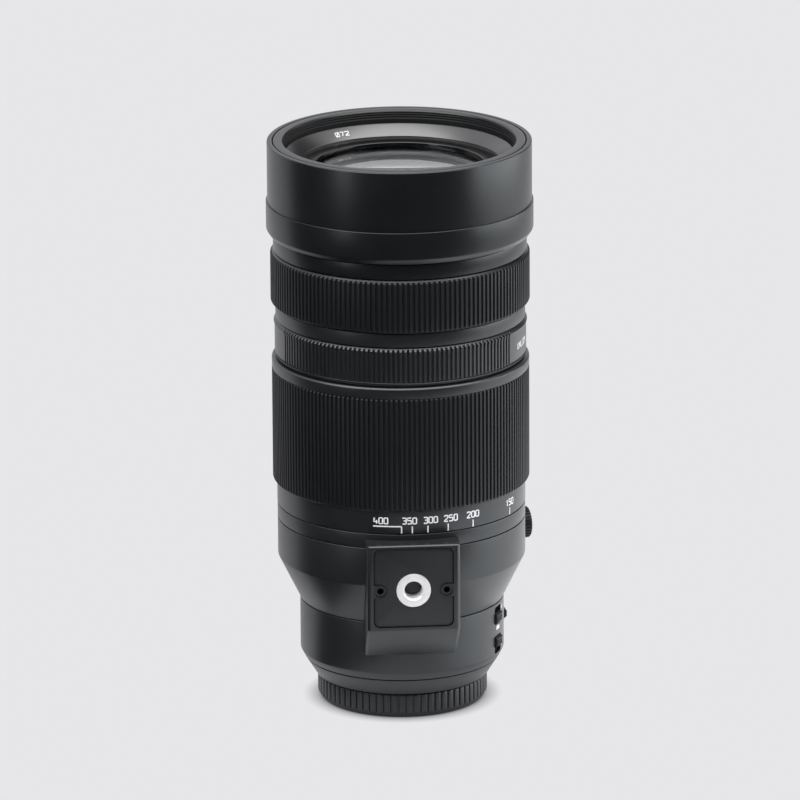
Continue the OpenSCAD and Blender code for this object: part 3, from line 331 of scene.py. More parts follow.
class LENS_OT_finishes(bpy.types.Operator):
    """Make the finishes and lay them on the inner parts, which keep the shape of their solids"""
    bl_idname = "lens.finishes"
    bl_label = "Finishes"

    def execute(self, context):
        look = context.scene.lens_finishes
        gloss = look.coat_roughness
        cool = {"sheen": look.sheen}
        metal = {"metallic": 1.0}
        MATERIALS.update({
            "outer_black": grained(
                "coat_black", look.coat, gloss, 5200, 0.012 * MM, specular=0.84, **cool),
            "hood_black": grained(
                "coat_hood", look.hood_coat, gloss - 0.04, 6500, 0.006 * MM, specular=0.66, **cool),
            "grip_rubber": grained(
                "rubber_grip", look.rubber, look.rubber_roughness, 3800, 0.02 * MM, specular=0.47,
                **cool),
            "cap_plastic": grained(
                "plastic_cap", look.plastic, 0.42, 2600, 0.02 * MM, specular=0.6, **cool),
            "switch_plastic": grained(
                "plastic_switch", look.rubber, 0.5, 4200, 0.012 * MM, specular=0.4, **cool),
            "panel_black": grained(
                "plastic_panel", look.plastic, 0.44, 3300, 0.03 * MM, specular=0.64, **cool),
            "name_ring_black": grained(
                "satin_ring", look.hood_coat, 0.36, 7000, 0.002 * MM, specular=1.0, coat=1.0),
            "keeper_black": grained(
                "glossy_keeper", look.hood_coat, 0.16, 7000, 0.001 * MM, specular=0.8),
            "thread_black": grained(
                "matt_thread", look.hood_coat, 0.6, 6000, 0.004 * MM, specular=0.3),
            "inner_black": grained("flock_black", (0.012, 0.012, 0.012, 1), 0.62, 2400, 0.03 * MM),
            "felt": grained("felt_black", (0.01, 0.01, 0.01, 1), 0.9, 5200, 0.08 * MM, 0.3, 0.2),
            "frame_alloy": grained(
                "alloy_frame", (0.42, 0.43, 0.45, 1), 0.38, 1800, 0.01 * MM, 0.06, **metal),
            "steel": grained(
                "steel_plated", (0.6, 0.6, 0.62, 1), 0.28, 2600, 0.006 * MM, 0.05, **metal),
            "brass_roller": grained(
                "brass_turned", (0.72, 0.55, 0.28, 1), 0.3, 3000, 0.006 * MM, 0.06, **metal),
            "contact_gold": grained(
                "gold_plate", (0.83, 0.64, 0.27, 1), 0.22, 4000, 0.003 * MM, 0.05, **metal),
            "board_green": grained("board_mask", (0.04, 0.2, 0.09, 1), 0.35, 1500, 0.02 * MM, 0.2),
            "motor_grey": grained("motor_paint", (0.2, 0.2, 0.22, 1), 0.45, 2200, 0.02 * MM),
            "print_white": grained("print_white", look.paint, 0.5, 6000, 0.004 * MM, 0.03),
            "socket_steel": turned_metal(
                "bush_bright", look.bush, foot_frame()["socket"], (QUARTER_TURN, 0, 0)),
            "coated_glass": clear_glass("glass_coated", (0.96, 0.98, 1.0, 1)),
        })
        for part in frame["record"]["subparts"]:
            mesh = frame["nodes"][part["node"]].data
            mesh.materials.clear()
            mesh.materials.append(MATERIALS[part["material_slot"]])
        return {"FINISHED"}


# Mesh tools

def verts_in(geometry):
    """Vertices among what an operator gives back."""
    return [item for item in geometry if isinstance(item, bmesh.types.BMVert)]


def welded(bm):
    """Merges the doubles of a mesh and turns its faces outwards."""
    bmesh.ops.remove_doubles(bm, verts=bm.verts, dist=WELD)
    bmesh.ops.recalc_face_normals(bm, faces=bm.faces)
    return bm


def rounded(bm, geometry, offset, segments, affect="EDGES"):
    """Rounds edges or corners off."""
    bmesh.ops.bevel(
        bm, geom=geometry, offset=offset, offset_type="OFFSET", affect=affect, segments=segments,
        profile=0.5, material=-1)


def moved(bm, matrix):
    """Moves a whole bmesh."""
    bmesh.ops.transform(bm, matrix=matrix, verts=bm.verts)
    return bm


def shifted(bm, *offset):
    """Moves a whole bmesh along the axes."""
    return moved(bm, Matrix.Translation(offset))


def turned(profile, steps=None):
    """Spins a closed outline of (radius, height) points, some with a rounding, about the axis."""
    bm = bmesh.new()
    profile = [(*point, 0)[:3] for point in profile]
    corners = [bm.verts.new((radius, 0, height)) for radius, height, _ in profile]
    for first, second in zip(corners, corners[1:] + corners[:1]):
        bm.edges.new((first, second))
    for size in sorted({point[2] for point in profile if point[2] > 0}):
        group = [vert for vert, point in zip(corners, profile) if point[2] == size]
        rounded(bm, group, size, 3, "VERTICES")
    bmesh.ops.spin(
        bm, geom=bm.verts[:] + bm.edges[:], cent=CENTRE, axis=AXIS, angle=FULL_TURN,
        steps=steps or bpy.context.scene.lens_shapes.steps, use_merge=True)
    return welded(bm)


def turn_of(vert):
    """Angle of a vertex round the lens, from the foot."""
    return math.atan2(vert.co.x, -vert.co.y)


def add_strip(bm, rows, across, start, pitch, copies):
    """Adds a strip of ring wall and its copies round the axis.

    Each row is (root radius, crest radius, height), and across lists (angle, lift), where lift goes
    from 0 at the root to 1 at the crest.
    """
    def place(line, row):
        root, crest, height = row
        for vert, (angle, lift) in zip(line, across):
            vert.co = around(root + (crest - root) * lift, angle, height)

    line = [bm.verts.new() for _ in across]
    made = list(line)
    place(line, rows[0])
    edges = [bm.edges.new(pair) for pair in zip(line, line[1:])]
    for row in rows[1:]:
        grown = bmesh.ops.extrude_edge_only(bm, edges=edges)["geom"]
        line = sorted(verts_in(grown), key=turn_of)
        fresh = set(line)
        edges = [e for v in line for e in v.link_edges if set(e.verts) <= fresh]
        edges = list(dict.fromkeys(edges))
        place(line, row)
        made += line
    faces = list(dict.fromkeys(f for v in made for f in v.link_faces))
    links = list(dict.fromkeys(e for v in made for e in v.link_edges))
    bmesh.ops.rotate(bm, verts=made, cent=CENTRE, matrix=Matrix.Rotation(start, 3, AXIS))
    if copies > 1:
        bmesh.ops.spin(
            bm, geom=made + links + faces, cent=CENTRE, axis=AXIS, angle=pitch * (copies - 1),
            steps=copies - 1, use_duplicate=True)


def close_ring(bm, inner):
    """Welds the strips of a ring and closes it with an inner wall of the given radius."""
    bmesh.ops.remove_doubles(bm, verts=bm.verts, dist=WELD)
    rim = [e for e in bm.edges if e.is_boundary]
    grown = bmesh.ops.extrude_edge_only(bm, edges=rim)["geom"]
    for vert in verts_in(grown):
        level = Vector((vert.co.x, vert.co.y, 0)).normalized() * inner
        vert.co = level + AXIS * vert.co.z
    bmesh.ops.bridge_loops(bm, edges=[e for e in bm.edges if e.is_boundary])
    bmesh.ops.recalc_face_normals(bm, faces=bm.faces)


# Half a rib from its groove to its crest, as shares of the pitch and of the depth
GRIP_RIB = ((-0.5, 0), (-0.34, 0), (-0.26, 0.8), (-0.2, 1))
CAP_RIB = ((-0.5, 0), (-0.42, 0), (-0.36, 0.8), (-0.28, 1))


def rib_across(pitch, half_rib=GRIP_RIB):
    """One rib and half a groove to each side, with rounded shoulders."""
    shares = half_rib + tuple((-share, lift) for share, lift in reversed(half_rib))
    return [(share * pitch, lift) for share, lift in shares]


def plain_across(span, pitch):
    """A plain stretch at the crest, with half a groove at each end."""
    half = span / 2
    count = max(2, round(span / pitch))
    ends = ((0, 0), (0.16, 0), (0.24, 0.8), (0.3, 1))
    left = [(-half + share * pitch, lift) for share, lift in ends]
    right = [(half - share * pitch, lift) for share, lift in reversed(ends)]
    inner = span - 2 * ends[-1][0] * pitch
    middle = [(inner * (i / count - 0.5), 1) for i in range(1, count)]
    return left + middle + right


def rib_rows(root, crest, low, high, chamfer):
    """Rows of a rib that slopes down to its root at both ends, with rounded corners."""
    soft = crest - 0.1 * (crest - root)
    shoulder, top = 0.9 * chamfer, 1.2 * chamfer
    return [
        (root, root, low), (root, soft, low + shoulder), (root, crest, low + top),
        (root, crest, high - top), (root, soft, high - shoulder), (root, root, high)]


def ribbed_ring(rows, ribs, inner):
    """Ring with ribs all round and a plain inner wall."""
    bm = bmesh.new()
    pitch = FULL_TURN / ribs
    add_strip(bm, rows, rib_across(pitch), 0, pitch, ribs)
    close_ring(bm, inner)
    return bm


def ribbed_cup(rows, ribs, half_rib=GRIP_RIB):
    """Body with ribs all round, closed across the axis at its first and last row."""
    bm = bmesh.new()
    pitch = FULL_TURN / ribs
    add_strip(bm, rows, rib_across(pitch, half_rib), 0, pitch, ribs)
    bmesh.ops.remove_doubles(bm, verts=bm.verts, dist=WELD)
    bmesh.ops.holes_fill(bm, edges=[e for e in bm.edges if e.is_boundary], sides=0)
    bmesh.ops.recalc_face_normals(bm, faces=bm.faces)
    return bm


def prism(outline, width):
    """Solid of a width along X, with a side outline of (y, z) points."""
    bm = bmesh.new()
    side = bm.faces.new([bm.verts.new((-width / 2, y, z)) for y, z in outline])
    grown = bmesh.ops.extrude_face_region(bm, geom=[side])["geom"]
    bmesh.ops.translate(bm, vec=(width, 0, 0), verts=verts_in(grown))
    bmesh.ops.recalc_face_normals(bm, faces=bm.faces)
    return bm


def box_cutter(size, rounding, steps=4):
    """Box about the origin with its edges along Y rounded."""
    bm = bmesh.new()
    bmesh.ops.create_cube(bm, size=1, matrix=Matrix.Diagonal((*size, 1)))
    along_y = [e for e in bm.edges if abs(e.verts[0].co.y - e.verts[1].co.y) > size[1] / 2]
    rounded(bm, along_y, rounding, steps)
    return bm


def rod_cutter(radius, low, high, x=0, z=0, steps=64):
    """Round bar along Y from low to high."""
    bm = bmesh.new()
    bmesh.ops.create_cone(
        bm, cap_ends=True, segments=steps, radius1=radius, radius2=radius, depth=high - low,
        matrix=Matrix.Translation((0, (low + high) / 2, 0)) @ Matrix.Rotation(QUARTER_TURN, 4, "X"))
    return shifted(bm, x, 0, z)


def as_object(name, bm):
    """Puts a bmesh into a new object at the origin."""
    mesh = bpy.data.meshes.new(name)
    bm.to_mesh(mesh)
    bm.free()
    thing = bpy.data.objects.new(name, mesh)
    bpy.context.scene.collection.objects.link(thing)
    return thing


def carved(bm, cutters):
    """Cuts the cutters out of a closed mesh and gives back the carved mesh."""
    base = as_object("carving", bm)
    tools = [as_object("cutter", cutter) for cutter in cutters]
    for tool in tools:
        step = base.modifiers.new("Cut", "BOOLEAN")
        step.operation = "DIFFERENCE"
        step.solver = "EXACT"
        step.object = tool
    bpy.context.view_layer.update()
    ready = base.evaluated_get(bpy.context.evaluated_depsgraph_get())
    result = bmesh.new()
    result.from_mesh(ready.data)
    for thing in (base, *tools):
        mesh = thing.data
        bpy.data.objects.remove(thing)
        bpy.data.meshes.remove(mesh)
    bmesh.ops.remove_doubles(result, verts=result.verts, dist=WELD)
    return result


def add_piece(name, bm, body, slot, nodes=(), material=None):
    """Makes a bmesh a piece that rides on a body and stands for the nodes."""
    piece = as_object(name, bm)
    mesh = piece.data
    mesh.shade_smooth()
    mesh.set_sharp_from_angle(angle=SHARP)
    mesh.materials.append(MATERIALS[material or slot])
    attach(piece, body)
    if nodes:
        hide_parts(*nodes)
    return piece


# Printed marks

GLYPH_WIDTH = 2.5
GLYPH_HEIGHT = 4.0
GLYPH_STEP = 3.55
NARROW = 0.96
ROUND_O = ((0.4, 0), (2.1, 0), (2.5, 0.4), (2.5, 3.6), (2.1, 4), (0.4, 4), (0, 3.6), (0, 0.4), (0.4, 0))
GLYPHS = {
    "0": [ROUND_O],
    "1": [((0.5, 3.2), (1.4, 4), (1.4, 0))],
    "2": [((0, 3.3), (0.3, 4), (2.2, 4), (2.5, 3.6), (2.5, 2.5), (0, 0.4), (0, 0), (2.5, 0))],
    "3": [((0, 4), (2.2, 4), (2.5, 3.6), (2.5, 2.4), (2.2, 2.1), (0.8, 2.1)),
          ((2.2, 2.1), (2.5, 1.8), (2.5, 0.4), (2.2, 0), (0, 0))],
    "4": [((0.3, 4), (0, 1.3), (2.6, 1.3)), ((1.9, 2.4), (1.9, 0))],
    "5": [((2.4, 4), (0, 4), (0, 2.3), (2.1, 2.3), (2.5, 1.9), (2.5, 0.4), (2.1, 0), (0, 0))],
    "7": [((0, 4), (2.5, 4), (1, 0))],
    "A": [((0, 0), (1.25, 4), (2.5, 0)), ((0.5, 1.3), (2, 1.3))],
    "C": [((2.5, 3.3), (2.1, 4), (0.4, 4), (0, 3.6), (0, 0.4), (0.4, 0), (2.1, 0), (2.5, 0.7))],
    "F": [((0, 0), (0, 4), (2.4, 4)), ((0, 2.1), (1.9, 2.1))],
    "K": [((0, 0), (0, 4)), ((2.4, 4), (0.1, 1.8)), ((0.9, 2.5), (2.5, 0))],
    "L": [((0, 4), (0, 0), (2.3, 0))],
    "M": [((0, 0), (0, 4), (1.4, 1.4), (2.8, 4), (2.8, 0))],
    "N": [((0, 0), (0, 4), (2.5, 0), (2.5, 4))],
    "O": [ROUND_O],
    "U": [((0, 4), (0, 0.4), (0.4, 0), (2.1, 0), (2.5, 0.4), (2.5, 4))],
    "Ø": [ROUND_O, ((0, -0.4), (2.5, 4.4))],
}


def word(text, height, left, base):
    """Strokes of a word, from its left end and base line, in metres."""
    unit = height / GLYPH_HEIGHT
    lines = []
    for place, letter in enumerate(text):
        for line in GLYPHS[letter]:
            lines.append([
                (left + (x + place * GLYPH_STEP) * unit * NARROW, base + y * unit) for x, y in line])
    return lines


def word_width(text, height):
    """Width of a word of the given height."""
    return ((len(text) - 1) * GLYPH_STEP + GLYPH_WIDTH) * NARROW * height / GLYPH_HEIGHT


def stepped(line, step=0.8 * MM):
    """Adds points to a stroke so that it can bend with its surface."""
    points = [line[0]]
    for start, end in zip(line, line[1:]):
        count = max(1, math.ceil(math.dist(start, end) / step))
        for i in range(1, count + 1):
            points.append(tuple(a + (b - a) * i / count for a, b in zip(start, end)))
    return points


def printed(name, lines, width, place, body):
    """Prints flat strokes and bends them onto a surface, where place(x, y, lift) gives each point."""
    flatness = 0.1
    curve = bpy.data.curves.new(name, "CURVE")
    curve.dimensions = "3D"
    curve.bevel_depth = width / 2
    curve.bevel_resolution = 1
    curve.use_fill_caps = True
    for line in map(stepped, lines):
        spline = curve.splines.new("POLY")
        spline.points.add(len(line) - 1)
        for point, (x, y) in zip(spline.points, line):
            point.co = (x, y, 0, 1)
    drawn = bpy.data.objects.new(name + "_curve", curve)
    bpy.context.scene.collection.objects.link(drawn)
    bpy.context.view_layer.update()
    ready = drawn.evaluated_get(bpy.context.evaluated_depsgraph_get())
    mesh = bpy.data.meshes.new_from_object(ready)
    bpy.data.objects.remove(drawn)
    bpy.data.curves.remove(curve)
    bm = bmesh.new()
    bm.from_mesh(mesh)
    bpy.data.meshes.remove(mesh)
    bmesh.ops.remove_doubles(bm, verts=bm.verts, dist=WELD)
    for vert in bm.verts:
        vert.co = place(vert.co.x, vert.co.y, vert.co.z * flatness)
    bmesh.ops.recalc_face_normals(bm, faces=bm.faces)
    return add_piece(name, bm, body, "outer_black", material="print_white")


def on_cylinder(radius, angle, height):
    """Place on a cylinder, with x along the turn and y up from the given angle and height."""
    return lambda x, y, lift: around(radius + lift, angle + x / radius, height + y)


# Rear end

SWITCHES = ("focus_mode_switch", "focus_range_switch", "stabiliser_switch")


def switch_frame(node):
    """Angle, middle height, size and travel of a switch button, from its solid."""
    low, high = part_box(node)
    flat = (low + high) / 2
    angle = math.atan2(flat.x, -flat.y)
    points = points_of(node)
    outward = Vector((math.sin(angle), -math.cos(angle), 0))
    aside = Vector((math.cos(angle), math.sin(angle), 0))
    reach = max(point.dot(outward) for point in points)
    angle += math.asin(sum(point.dot(aside) for point in points) / len(points) / reach)
    aside = Vector((math.cos(angle), math.sin(angle), 0))
    half = max(abs(point.dot(aside)) for point in points)
    joint = joint_with("child", node)
    travel = joint["range_m"][1]
    middle = (low.z + high.z) / 2
    return {
        "angle": angle, "reach": reach, "width": 2 * half, "height": high.z - low.z, "middle": middle,
        "travel": travel, "slot": middle + joint["axis"][2] * travel / 2}


class LENS_OT_rear_cap(bpy.types.Operator):
    """Model the ribbed rear cap that the lens stands on"""
    bl_idname = "lens.rear_cap"
    bl_label = "Rear Cap"

    def execute(self, context):
        shapes = context.scene.lens_shapes
        low, high, crest = ring_of("rear_cap")
        root = crest - shapes.rib_depth
        heel = 1.4 * MM
        rib_rise = 0.5 * MM
        lip = 0.7 * MM
        wall = 1.6 * MM
        floor = 1.6 * MM
        rows = [(root - heel, root - heel, low)]
        for degrees in (30, 60, 85):
            turn = math.radians(degrees)
            inset = root - heel * (1 - math.sin(turn))
            rows.append((inset, inset, low + heel * (1 - math.cos(turn))))
        rows += [
            (root, root, low + heel), (root, crest, low + heel + rib_rise), (root, crest, high - lip),
            (root - 0.05 * MM, crest - 0.15 * MM, high - 0.3 * lip),
            (root - 0.2 * MM, crest - 0.45 * MM, high), (root - 0.4 * MM, root - 0.4 * MM, high),
            (root - wall, root - wall, high), (root - wall, root - wall, low + floor)]
        cap = ribbed_cup(rows, shapes.cap_ribs, CAP_RIB)
        add_piece("cap_body", cap, "rear_cap", "cap_plastic", ("rear_cap",))
        return {"FINISHED"}


class LENS_OT_rear_shells(bpy.types.Operator):
    """Model the tapered tail cover and the rear barrel with its switch slots"""
    bl_idname = "lens.rear_shells"
    bl_label = "Rear Shells"

    def execute(self, context):
        shapes = context.scene.lens_shapes
        edge = shapes.edge
        low, high, outer = ring_of("tail_cover")
        inner = radius_of("mount_plate") + CLOSE
        rim = inner + 1.0 * MM
        land = 0.2 * MM
        tail = turned([
            (inner, low), (rim, low, edge), (outer, high - land, edge), (outer, high, edge),
            (inner, high)])
        add_piece("tail_taper", tail, "barrel", "outer_black", ("tail_cover",))

        low, high, outer = ring_of("rear_barrel")
        wall = 1.2 * MM
        slope_depth, slope_height = 1.2 * MM, 2.3 * MM
        slot_corner = 0.7 * MM
        shell = turned([
            (inner, low), (outer - slope_depth, low, edge),
            (outer, low + slope_height, shapes.soft_edge), (outer, high, edge),
            (outer - wall, high), (outer - wall, low + wall), (inner, low + wall)])
        cutters = []
        for spot in map(switch_frame, SWITCHES):
            width = spot["width"] + 2 * RUNNING
            height = spot["height"] + spot["travel"] + 2 * RUNNING
            cutter = box_cutter((width, 3 * wall, height), slot_corner)
            shifted(cutter, 0, -outer, spot["slot"])
            cutters.append(moved(cutter, Matrix.Rotation(spot["angle"], 4, "Z")))
        add_piece("rear_shell", carved(shell, cutters), "barrel", "outer_black", ("rear_barrel",))

        bed = 0.5 * MM
        bed_inner, bed_outer = outer - wall - bed, outer - wall - HAIR
        sleeve = turned([
            (bed_inner, low + wall), (bed_outer, low + wall), (bed_outer, high - bed),
            (bed_inner, high - bed)])
        add_piece("switch_bed", sleeve, "barrel", "inner_black")
        return {"FINISHED"}


class LENS_OT_switches(bpy.types.Operator):
    """Model the ribbed switch buttons and the marks beside them"""
    bl_idname = "lens.switches"
    bl_label = "Switches"

    def execute(self, context):
        for node in SWITCHES:
            add_piece(
                node.replace("switch", "button"), self.button(switch_frame(node)), node,
                "switch_plastic", (node,))
        self.print_marks()
        return {"FINISHED"}

    @staticmethod
    def button(spot):
        """Ribbed button with sloping ends."""
        ribs = 4
        groove = 0.3 * MM
        slope_share = 0.8
        softening = 0.12 * MM
        shell = radius_of("rear_barrel")
        base = shell - MM
        reach = spot["reach"]
        slope = (reach - shell) * slope_share
        bottom = spot["middle"] - spot["height"] / 2
        top = spot["middle"] + spot["height"] / 2
        pitch = (spot["height"] - 2 * slope) / ribs
        side = [(base, bottom), (shell, bottom)]
        for rib in range(ribs):
            level = bottom + slope + rib * pitch
            side += [
                (reach, level + FLUSH), (reach, level + 0.66 * pitch),
                (reach - groove, level + 0.74 * pitch), (reach - groove, level + 0.92 * pitch)]
        del side[-2:]
        side += [(reach, top - slope), (shell, top), (base, top)]
        bm = prism([(-out, height) for out, height in side], spot["width"])
        long_edges = [e for e in bm.edges if e.calc_length() > 0.9 * spot["width"]]
        end_edges = [e for e in bm.edges if abs(e.verts[0].co.x - e.verts[1].co.x) < 0.01 * MM]
        rounded(bm, long_edges + end_edges, softening, 2)
        return moved(bm, Matrix.Rotation(spot["angle"], 4, "Z"))

    @staticmethod
    def print_marks():
        """Bar between the two switches of the first column, and the words beside the buttons."""
        shell = radius_of("rear_barrel")
        upper, lower, side_switch = map(switch_frame, SWITCHES)
        place = on_cylinder(shell, upper["angle"], 0)
        bar = (upper["slot"] + lower["slot"]) / 2 + 0.6 * MM
        bar_half, bar_width = 1.3 * MM, 1.25 * MM
        printed("switch_bar", [[(-bar_half, bar), (bar_half, bar)]], bar_width, place, "barrel")
        letters = 1.1 * MM
        stroke = 0.22 * MM
        beside, apart = 1.2 * MM, 0.9 * MM
        labels = []
        for spot, words in ((upper, ("AF", "MF")), (side_switch, ("ON", "OFF"))):
            left = (spot["angle"] - upper["angle"]) * shell + spot["width"] / 2 + beside
            heights = (spot["slot"] + apart, spot["slot"] - apart - letters)
            for text, height in zip(words, heights):
                labels += word(text, letters, left, height)
        printed("switch_words", labels, stroke, place, "barrel")


# Tripod collar and foot

COLLAR_CONE = 13.9 * MM
# Guide pin holes at the sides of the plate, and the half-round lugs that hold them
PIN_X = 10.3 * MM
PIN_R = 1.0 * MM
LUG_R = 2.1 * MM
LUG_DIP = 0.6 * MM
PLATE_CORNER = 2 * MM
PLATE_CORNER_STEPS = 6


def foot_frame():
    """Places on the tripod foot, from its solids."""
    low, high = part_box("foot_block")
    plate_low, plate_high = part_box("foot_panel")
    bush_low, bush_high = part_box("tripod_socket")
    return {
        "low": low, "high": high, "plate_low": plate_low, "plate_high": plate_high,
        "socket": Vector((0, bush_low.y, (bush_low.z + bush_high.z) / 2)),
        "bush_r": bush_high.x, "bush_back": bush_high.y}


class LENS_OT_collar(bpy.types.Operator):
    """Model the turning tripod collar and its lock knob"""
    bl_idname = "lens.collar"
    bl_label = "Tripod Collar"

    def execute(self, context):
        shapes = context.scene.lens_shapes
        edge = shapes.edge
        low, high = heights_of("tripod_collar")
        outer = radius_of("index_ring")
        waist = radius_of("rear_barrel")
        wall = 2.4 * MM
        bore = waist - 1.0 * MM
        top_flange, bottom_flange = 3 * MM, 4 * MM
        shell = turned([
            (bore, low), (waist, low, edge), (outer, low + COLLAR_CONE, shapes.soft_edge),
            (outer, high, edge), (bore, high), (bore, high - top_flange),
            (outer - wall, high - top_flange), (outer - wall, low + COLLAR_CONE + 0.5 * MM),
            (bore, low + bottom_flange)])
        foot = foot_frame()
        bush_hole = rod_cutter(foot["bush_r"], foot["low"].y, foot["bush_back"], z=foot["socket"].z)
        shell = carved(shell, [bush_hole])
        add_piece("collar_shell", shell, "tripod_collar", "outer_black", ("tripod_collar",))
        knob = self.knob(shapes, outer + RUNNING)
        add_piece("knob_head", knob, "lock_knob", "outer_black", ("lock_knob",), "switch_plastic")
        return {"FINISHED"}

    @staticmethod
    def knob(shapes, bottom):
        """Ribbed knob with a dished face, which begins at a distance from the axis."""
        low, high = heights_of("lock_knob")
        outward = Vector(joint_with("name", "knob_turn")["axis"])
        top = max(point.dot(outward) for point in points_of("lock_knob"))
        crest = (high - low) / 2
        root = crest - 0.4 * MM
        dish = 0.35 * MM
        rim, well, hub = root - 0.9 * MM, root - 1.1 * MM, 0.6 * MM
        bm = ribbed_cup([
            (root, root, bottom), (root, crest, bottom + 0.35 * MM), (root, crest, top - 0.45 * MM),
            (root - 0.1 * MM, crest - 0.3 * MM, top - 0.05 * MM),
            (root - 0.5 * MM, root - 0.4 * MM, top), (rim, rim, top), (well, well, top - dish),
            (hub, hub, top - dish)], shapes.knob_ribs)
        turn = Matrix.Rotation(math.atan2(outward.x, -outward.y), 4, "Z")
        lift = Matrix.Translation((0, 0, (high + low) / 2))
        return moved(bm, lift @ turn @ Matrix.Rotation(QUARTER_TURN, 4, "X"))


class LENS_OT_foot(bpy.types.Operator):
    """Model the foot with its recessed plate, bright tripod bush and guide pin holes"""
    bl_idname = "lens.foot"
    bl_label = "Tripod Foot"

    def execute(self, context):
        foot = foot_frame()
        for name, bm, slot, node in (
                ("foot_casting", self.casting(foot), "outer_black", "foot_block"),
                ("foot_plate", self.plate(foot), "panel_black", "foot_panel"),
                ("socket_bush", self.bush(foot), "socket_steel", "tripod_socket")):
            add_piece(name, bm, "tripod_collar", slot, (node,))
        return {"FINISHED"}

    @classmethod
    def casting(cls, foot):
        """Block with a slope under its face, a pocket for the plate and holes for bush and pins."""
        low, high = foot["low"], foot["high"]
        face, half = low.y, high.x - 0.5 * MM
        slope = 11.6 * MM
        chamfer, brow, softening = 0.8 * MM, 0.45 * MM, 0.18 * MM
        bend = 0.3
        back = -28 * MM
        bm = prism([
            (back, high.z), (face, high.z), (face, low.z + slope), (face + slope, low.z),
            (back, low.z)], 2 * half)

        def clear_of_back(edge):
            return max(vert.co.y for vert in edge.verts) < back - WELD

        flanks = [
            e for e in bm.edges if abs(e.verts[0].co.x - e.verts[1].co.x) < WELD
            and min(v.co.y for v in e.verts) < face + WELD and clear_of_back(e)]
        rounded(bm, flanks, chamfer, 1)
        top_edge = [
            e for e in bm.edges
            if all(v.co.y < face + WELD and v.co.z > high.z - WELD for v in e.verts)]
        rounded(bm, top_edge, brow, 1)
        rims = [e for e in bm.edges if e.calc_face_angle(0) > bend and clear_of_back(e)]
        rounded(bm, rims, softening, 2)

        plate_low, plate_high = foot["plate_low"], foot["plate_high"]
        plate_back = plate_high.y
        level = foot["socket"].z
        pocket = box_cutter(
            (plate_high.x - plate_low.x + 3 * CLOSE, 2 * (plate_back - face + CLOSE / 2),
             plate_high.z - plate_low.z + 3 * CLOSE), PLATE_CORNER, PLATE_CORNER_STEPS)
        shifted(pocket, 0, face, (plate_low.z + plate_high.z) / 2)
        pocket = carved(pocket, cls.lugs(LUG_R - CLOSE, face - 3 * MM, plate_back + MM, level))
        hole = rod_cutter(foot["bush_r"] + CLOSE / 2, face - MM, foot["bush_back"], z=level)
        cutters = [pocket, hole, cls.clearance()]
        for x in (-PIN_X, PIN_X):
            cutters.append(rod_cutter(PIN_R, face - MM, plate_back + 3 * MM, x, level, 32))
            cutters.append(rod_cutter(LUG_R - 2 * CLOSE, face - MM, face + LUG_DIP, x, level, 48))
        return carved(bm, cutters)

    @classmethod
    def plate(cls, foot):
        """Plate with a hole for the bush and a notch for each lug."""
        low, high = foot["plate_low"], foot["plate_high"]
        softening = 0.15 * MM
        bm = box_cutter(high - low, PLATE_CORNER, PLATE_CORNER_STEPS)
        rim = [e for e in bm.edges if max(v.co.y for v in e.verts) < 0]
        rounded(bm, rim, softening, 2)
        shifted(bm, *(low + high) / 2)
        reach = (foot["low"].y - MM, high.y + MM)
        level = foot["socket"].z
        hole = rod_cutter(foot["bush_r"] + CLOSE, *reach, z=level)
        return carved(bm, [hole, *cls.lugs(LUG_R, *reach, level)])

    @staticmethod
    def bush(foot):
        """Open threaded tube with a chamfered mouth."""
        outer = foot["bush_r"]
        bore, mouth = 2.8 * MM, 0.5 * MM
        depth = foot["bush_back"] - foot["socket"].y
        pitch, cut, softening = 1.27 * MM, 0.42 * MM, 0.06 * MM
        steps = 128
        profile = [(outer, -depth), (outer, 0, 0.25 * MM), (bore + mouth, 0, 0.1 * MM)]
        level = -mouth
        while level - pitch > -depth:
            profile += [(bore, level, softening), (bore + cut, level - pitch / 2, softening)]
            level -= pitch
        profile += [(bore, level), (bore, -depth)]
        place = Matrix.Translation(foot["socket"]) @ Matrix.Rotation(QUARTER_TURN, 4, "X")
        return moved(turned(profile, steps), place)

    @staticmethod
    def lugs(radius, low, high, height):
        """Half-round lugs that reach into the plate from both sides of the foot, to carve with."""
        length = 4 * MM
        made = []
        for side in (-1, 1):
            made.append(rod_cutter(radius, low, high, side * PIN_X, height, 48))
            bar = box_cutter((length, high - low, 2 * radius), FLUSH, 1)
            made.append(shifted(bar, side * (PIN_X + length / 2), (low + high) / 2, height))
        return made

    @staticmethod
    def clearance():
        """Turned body of all that the foot has to clear."""
        low, high = heights_of("tripod_collar")
        waist = radius_of("rear_barrel") + RUNNING
        outer = radius_of("index_ring")
        ends = 20 * MM
        return turned([
            (0, low - ends), (waist, low - ends), (waist, low), (outer + HAIR, low + COLLAR_CONE),
            (outer + HAIR, high), (outer + RUNNING, high), (outer + RUNNING, high + ends),
            (0, high + ends)])


# Rings

# Tick of each focal length on the zoom ring in degrees, and how far its number stands beside it in mm
SCALE = (
    ("400", 0.0, -6.45), ("350", 4.9, -0.85), ("300", 12.1, 0.9), ("250", 21.8, 0.95),
    ("200", 34.8, 0.0), ("150", 60.2, 0.0), ("100", 105.0, 0.0))
SCALE_TURN = math.radians(-4.75)
SCALE_R = 38.8 * MM
GRIP_WALL = 1.25 * MM


def sleeve_bore():
    """Bore of the rings that turn on the main barrel."""
    return radius_of("main_barrel") + RUNNING


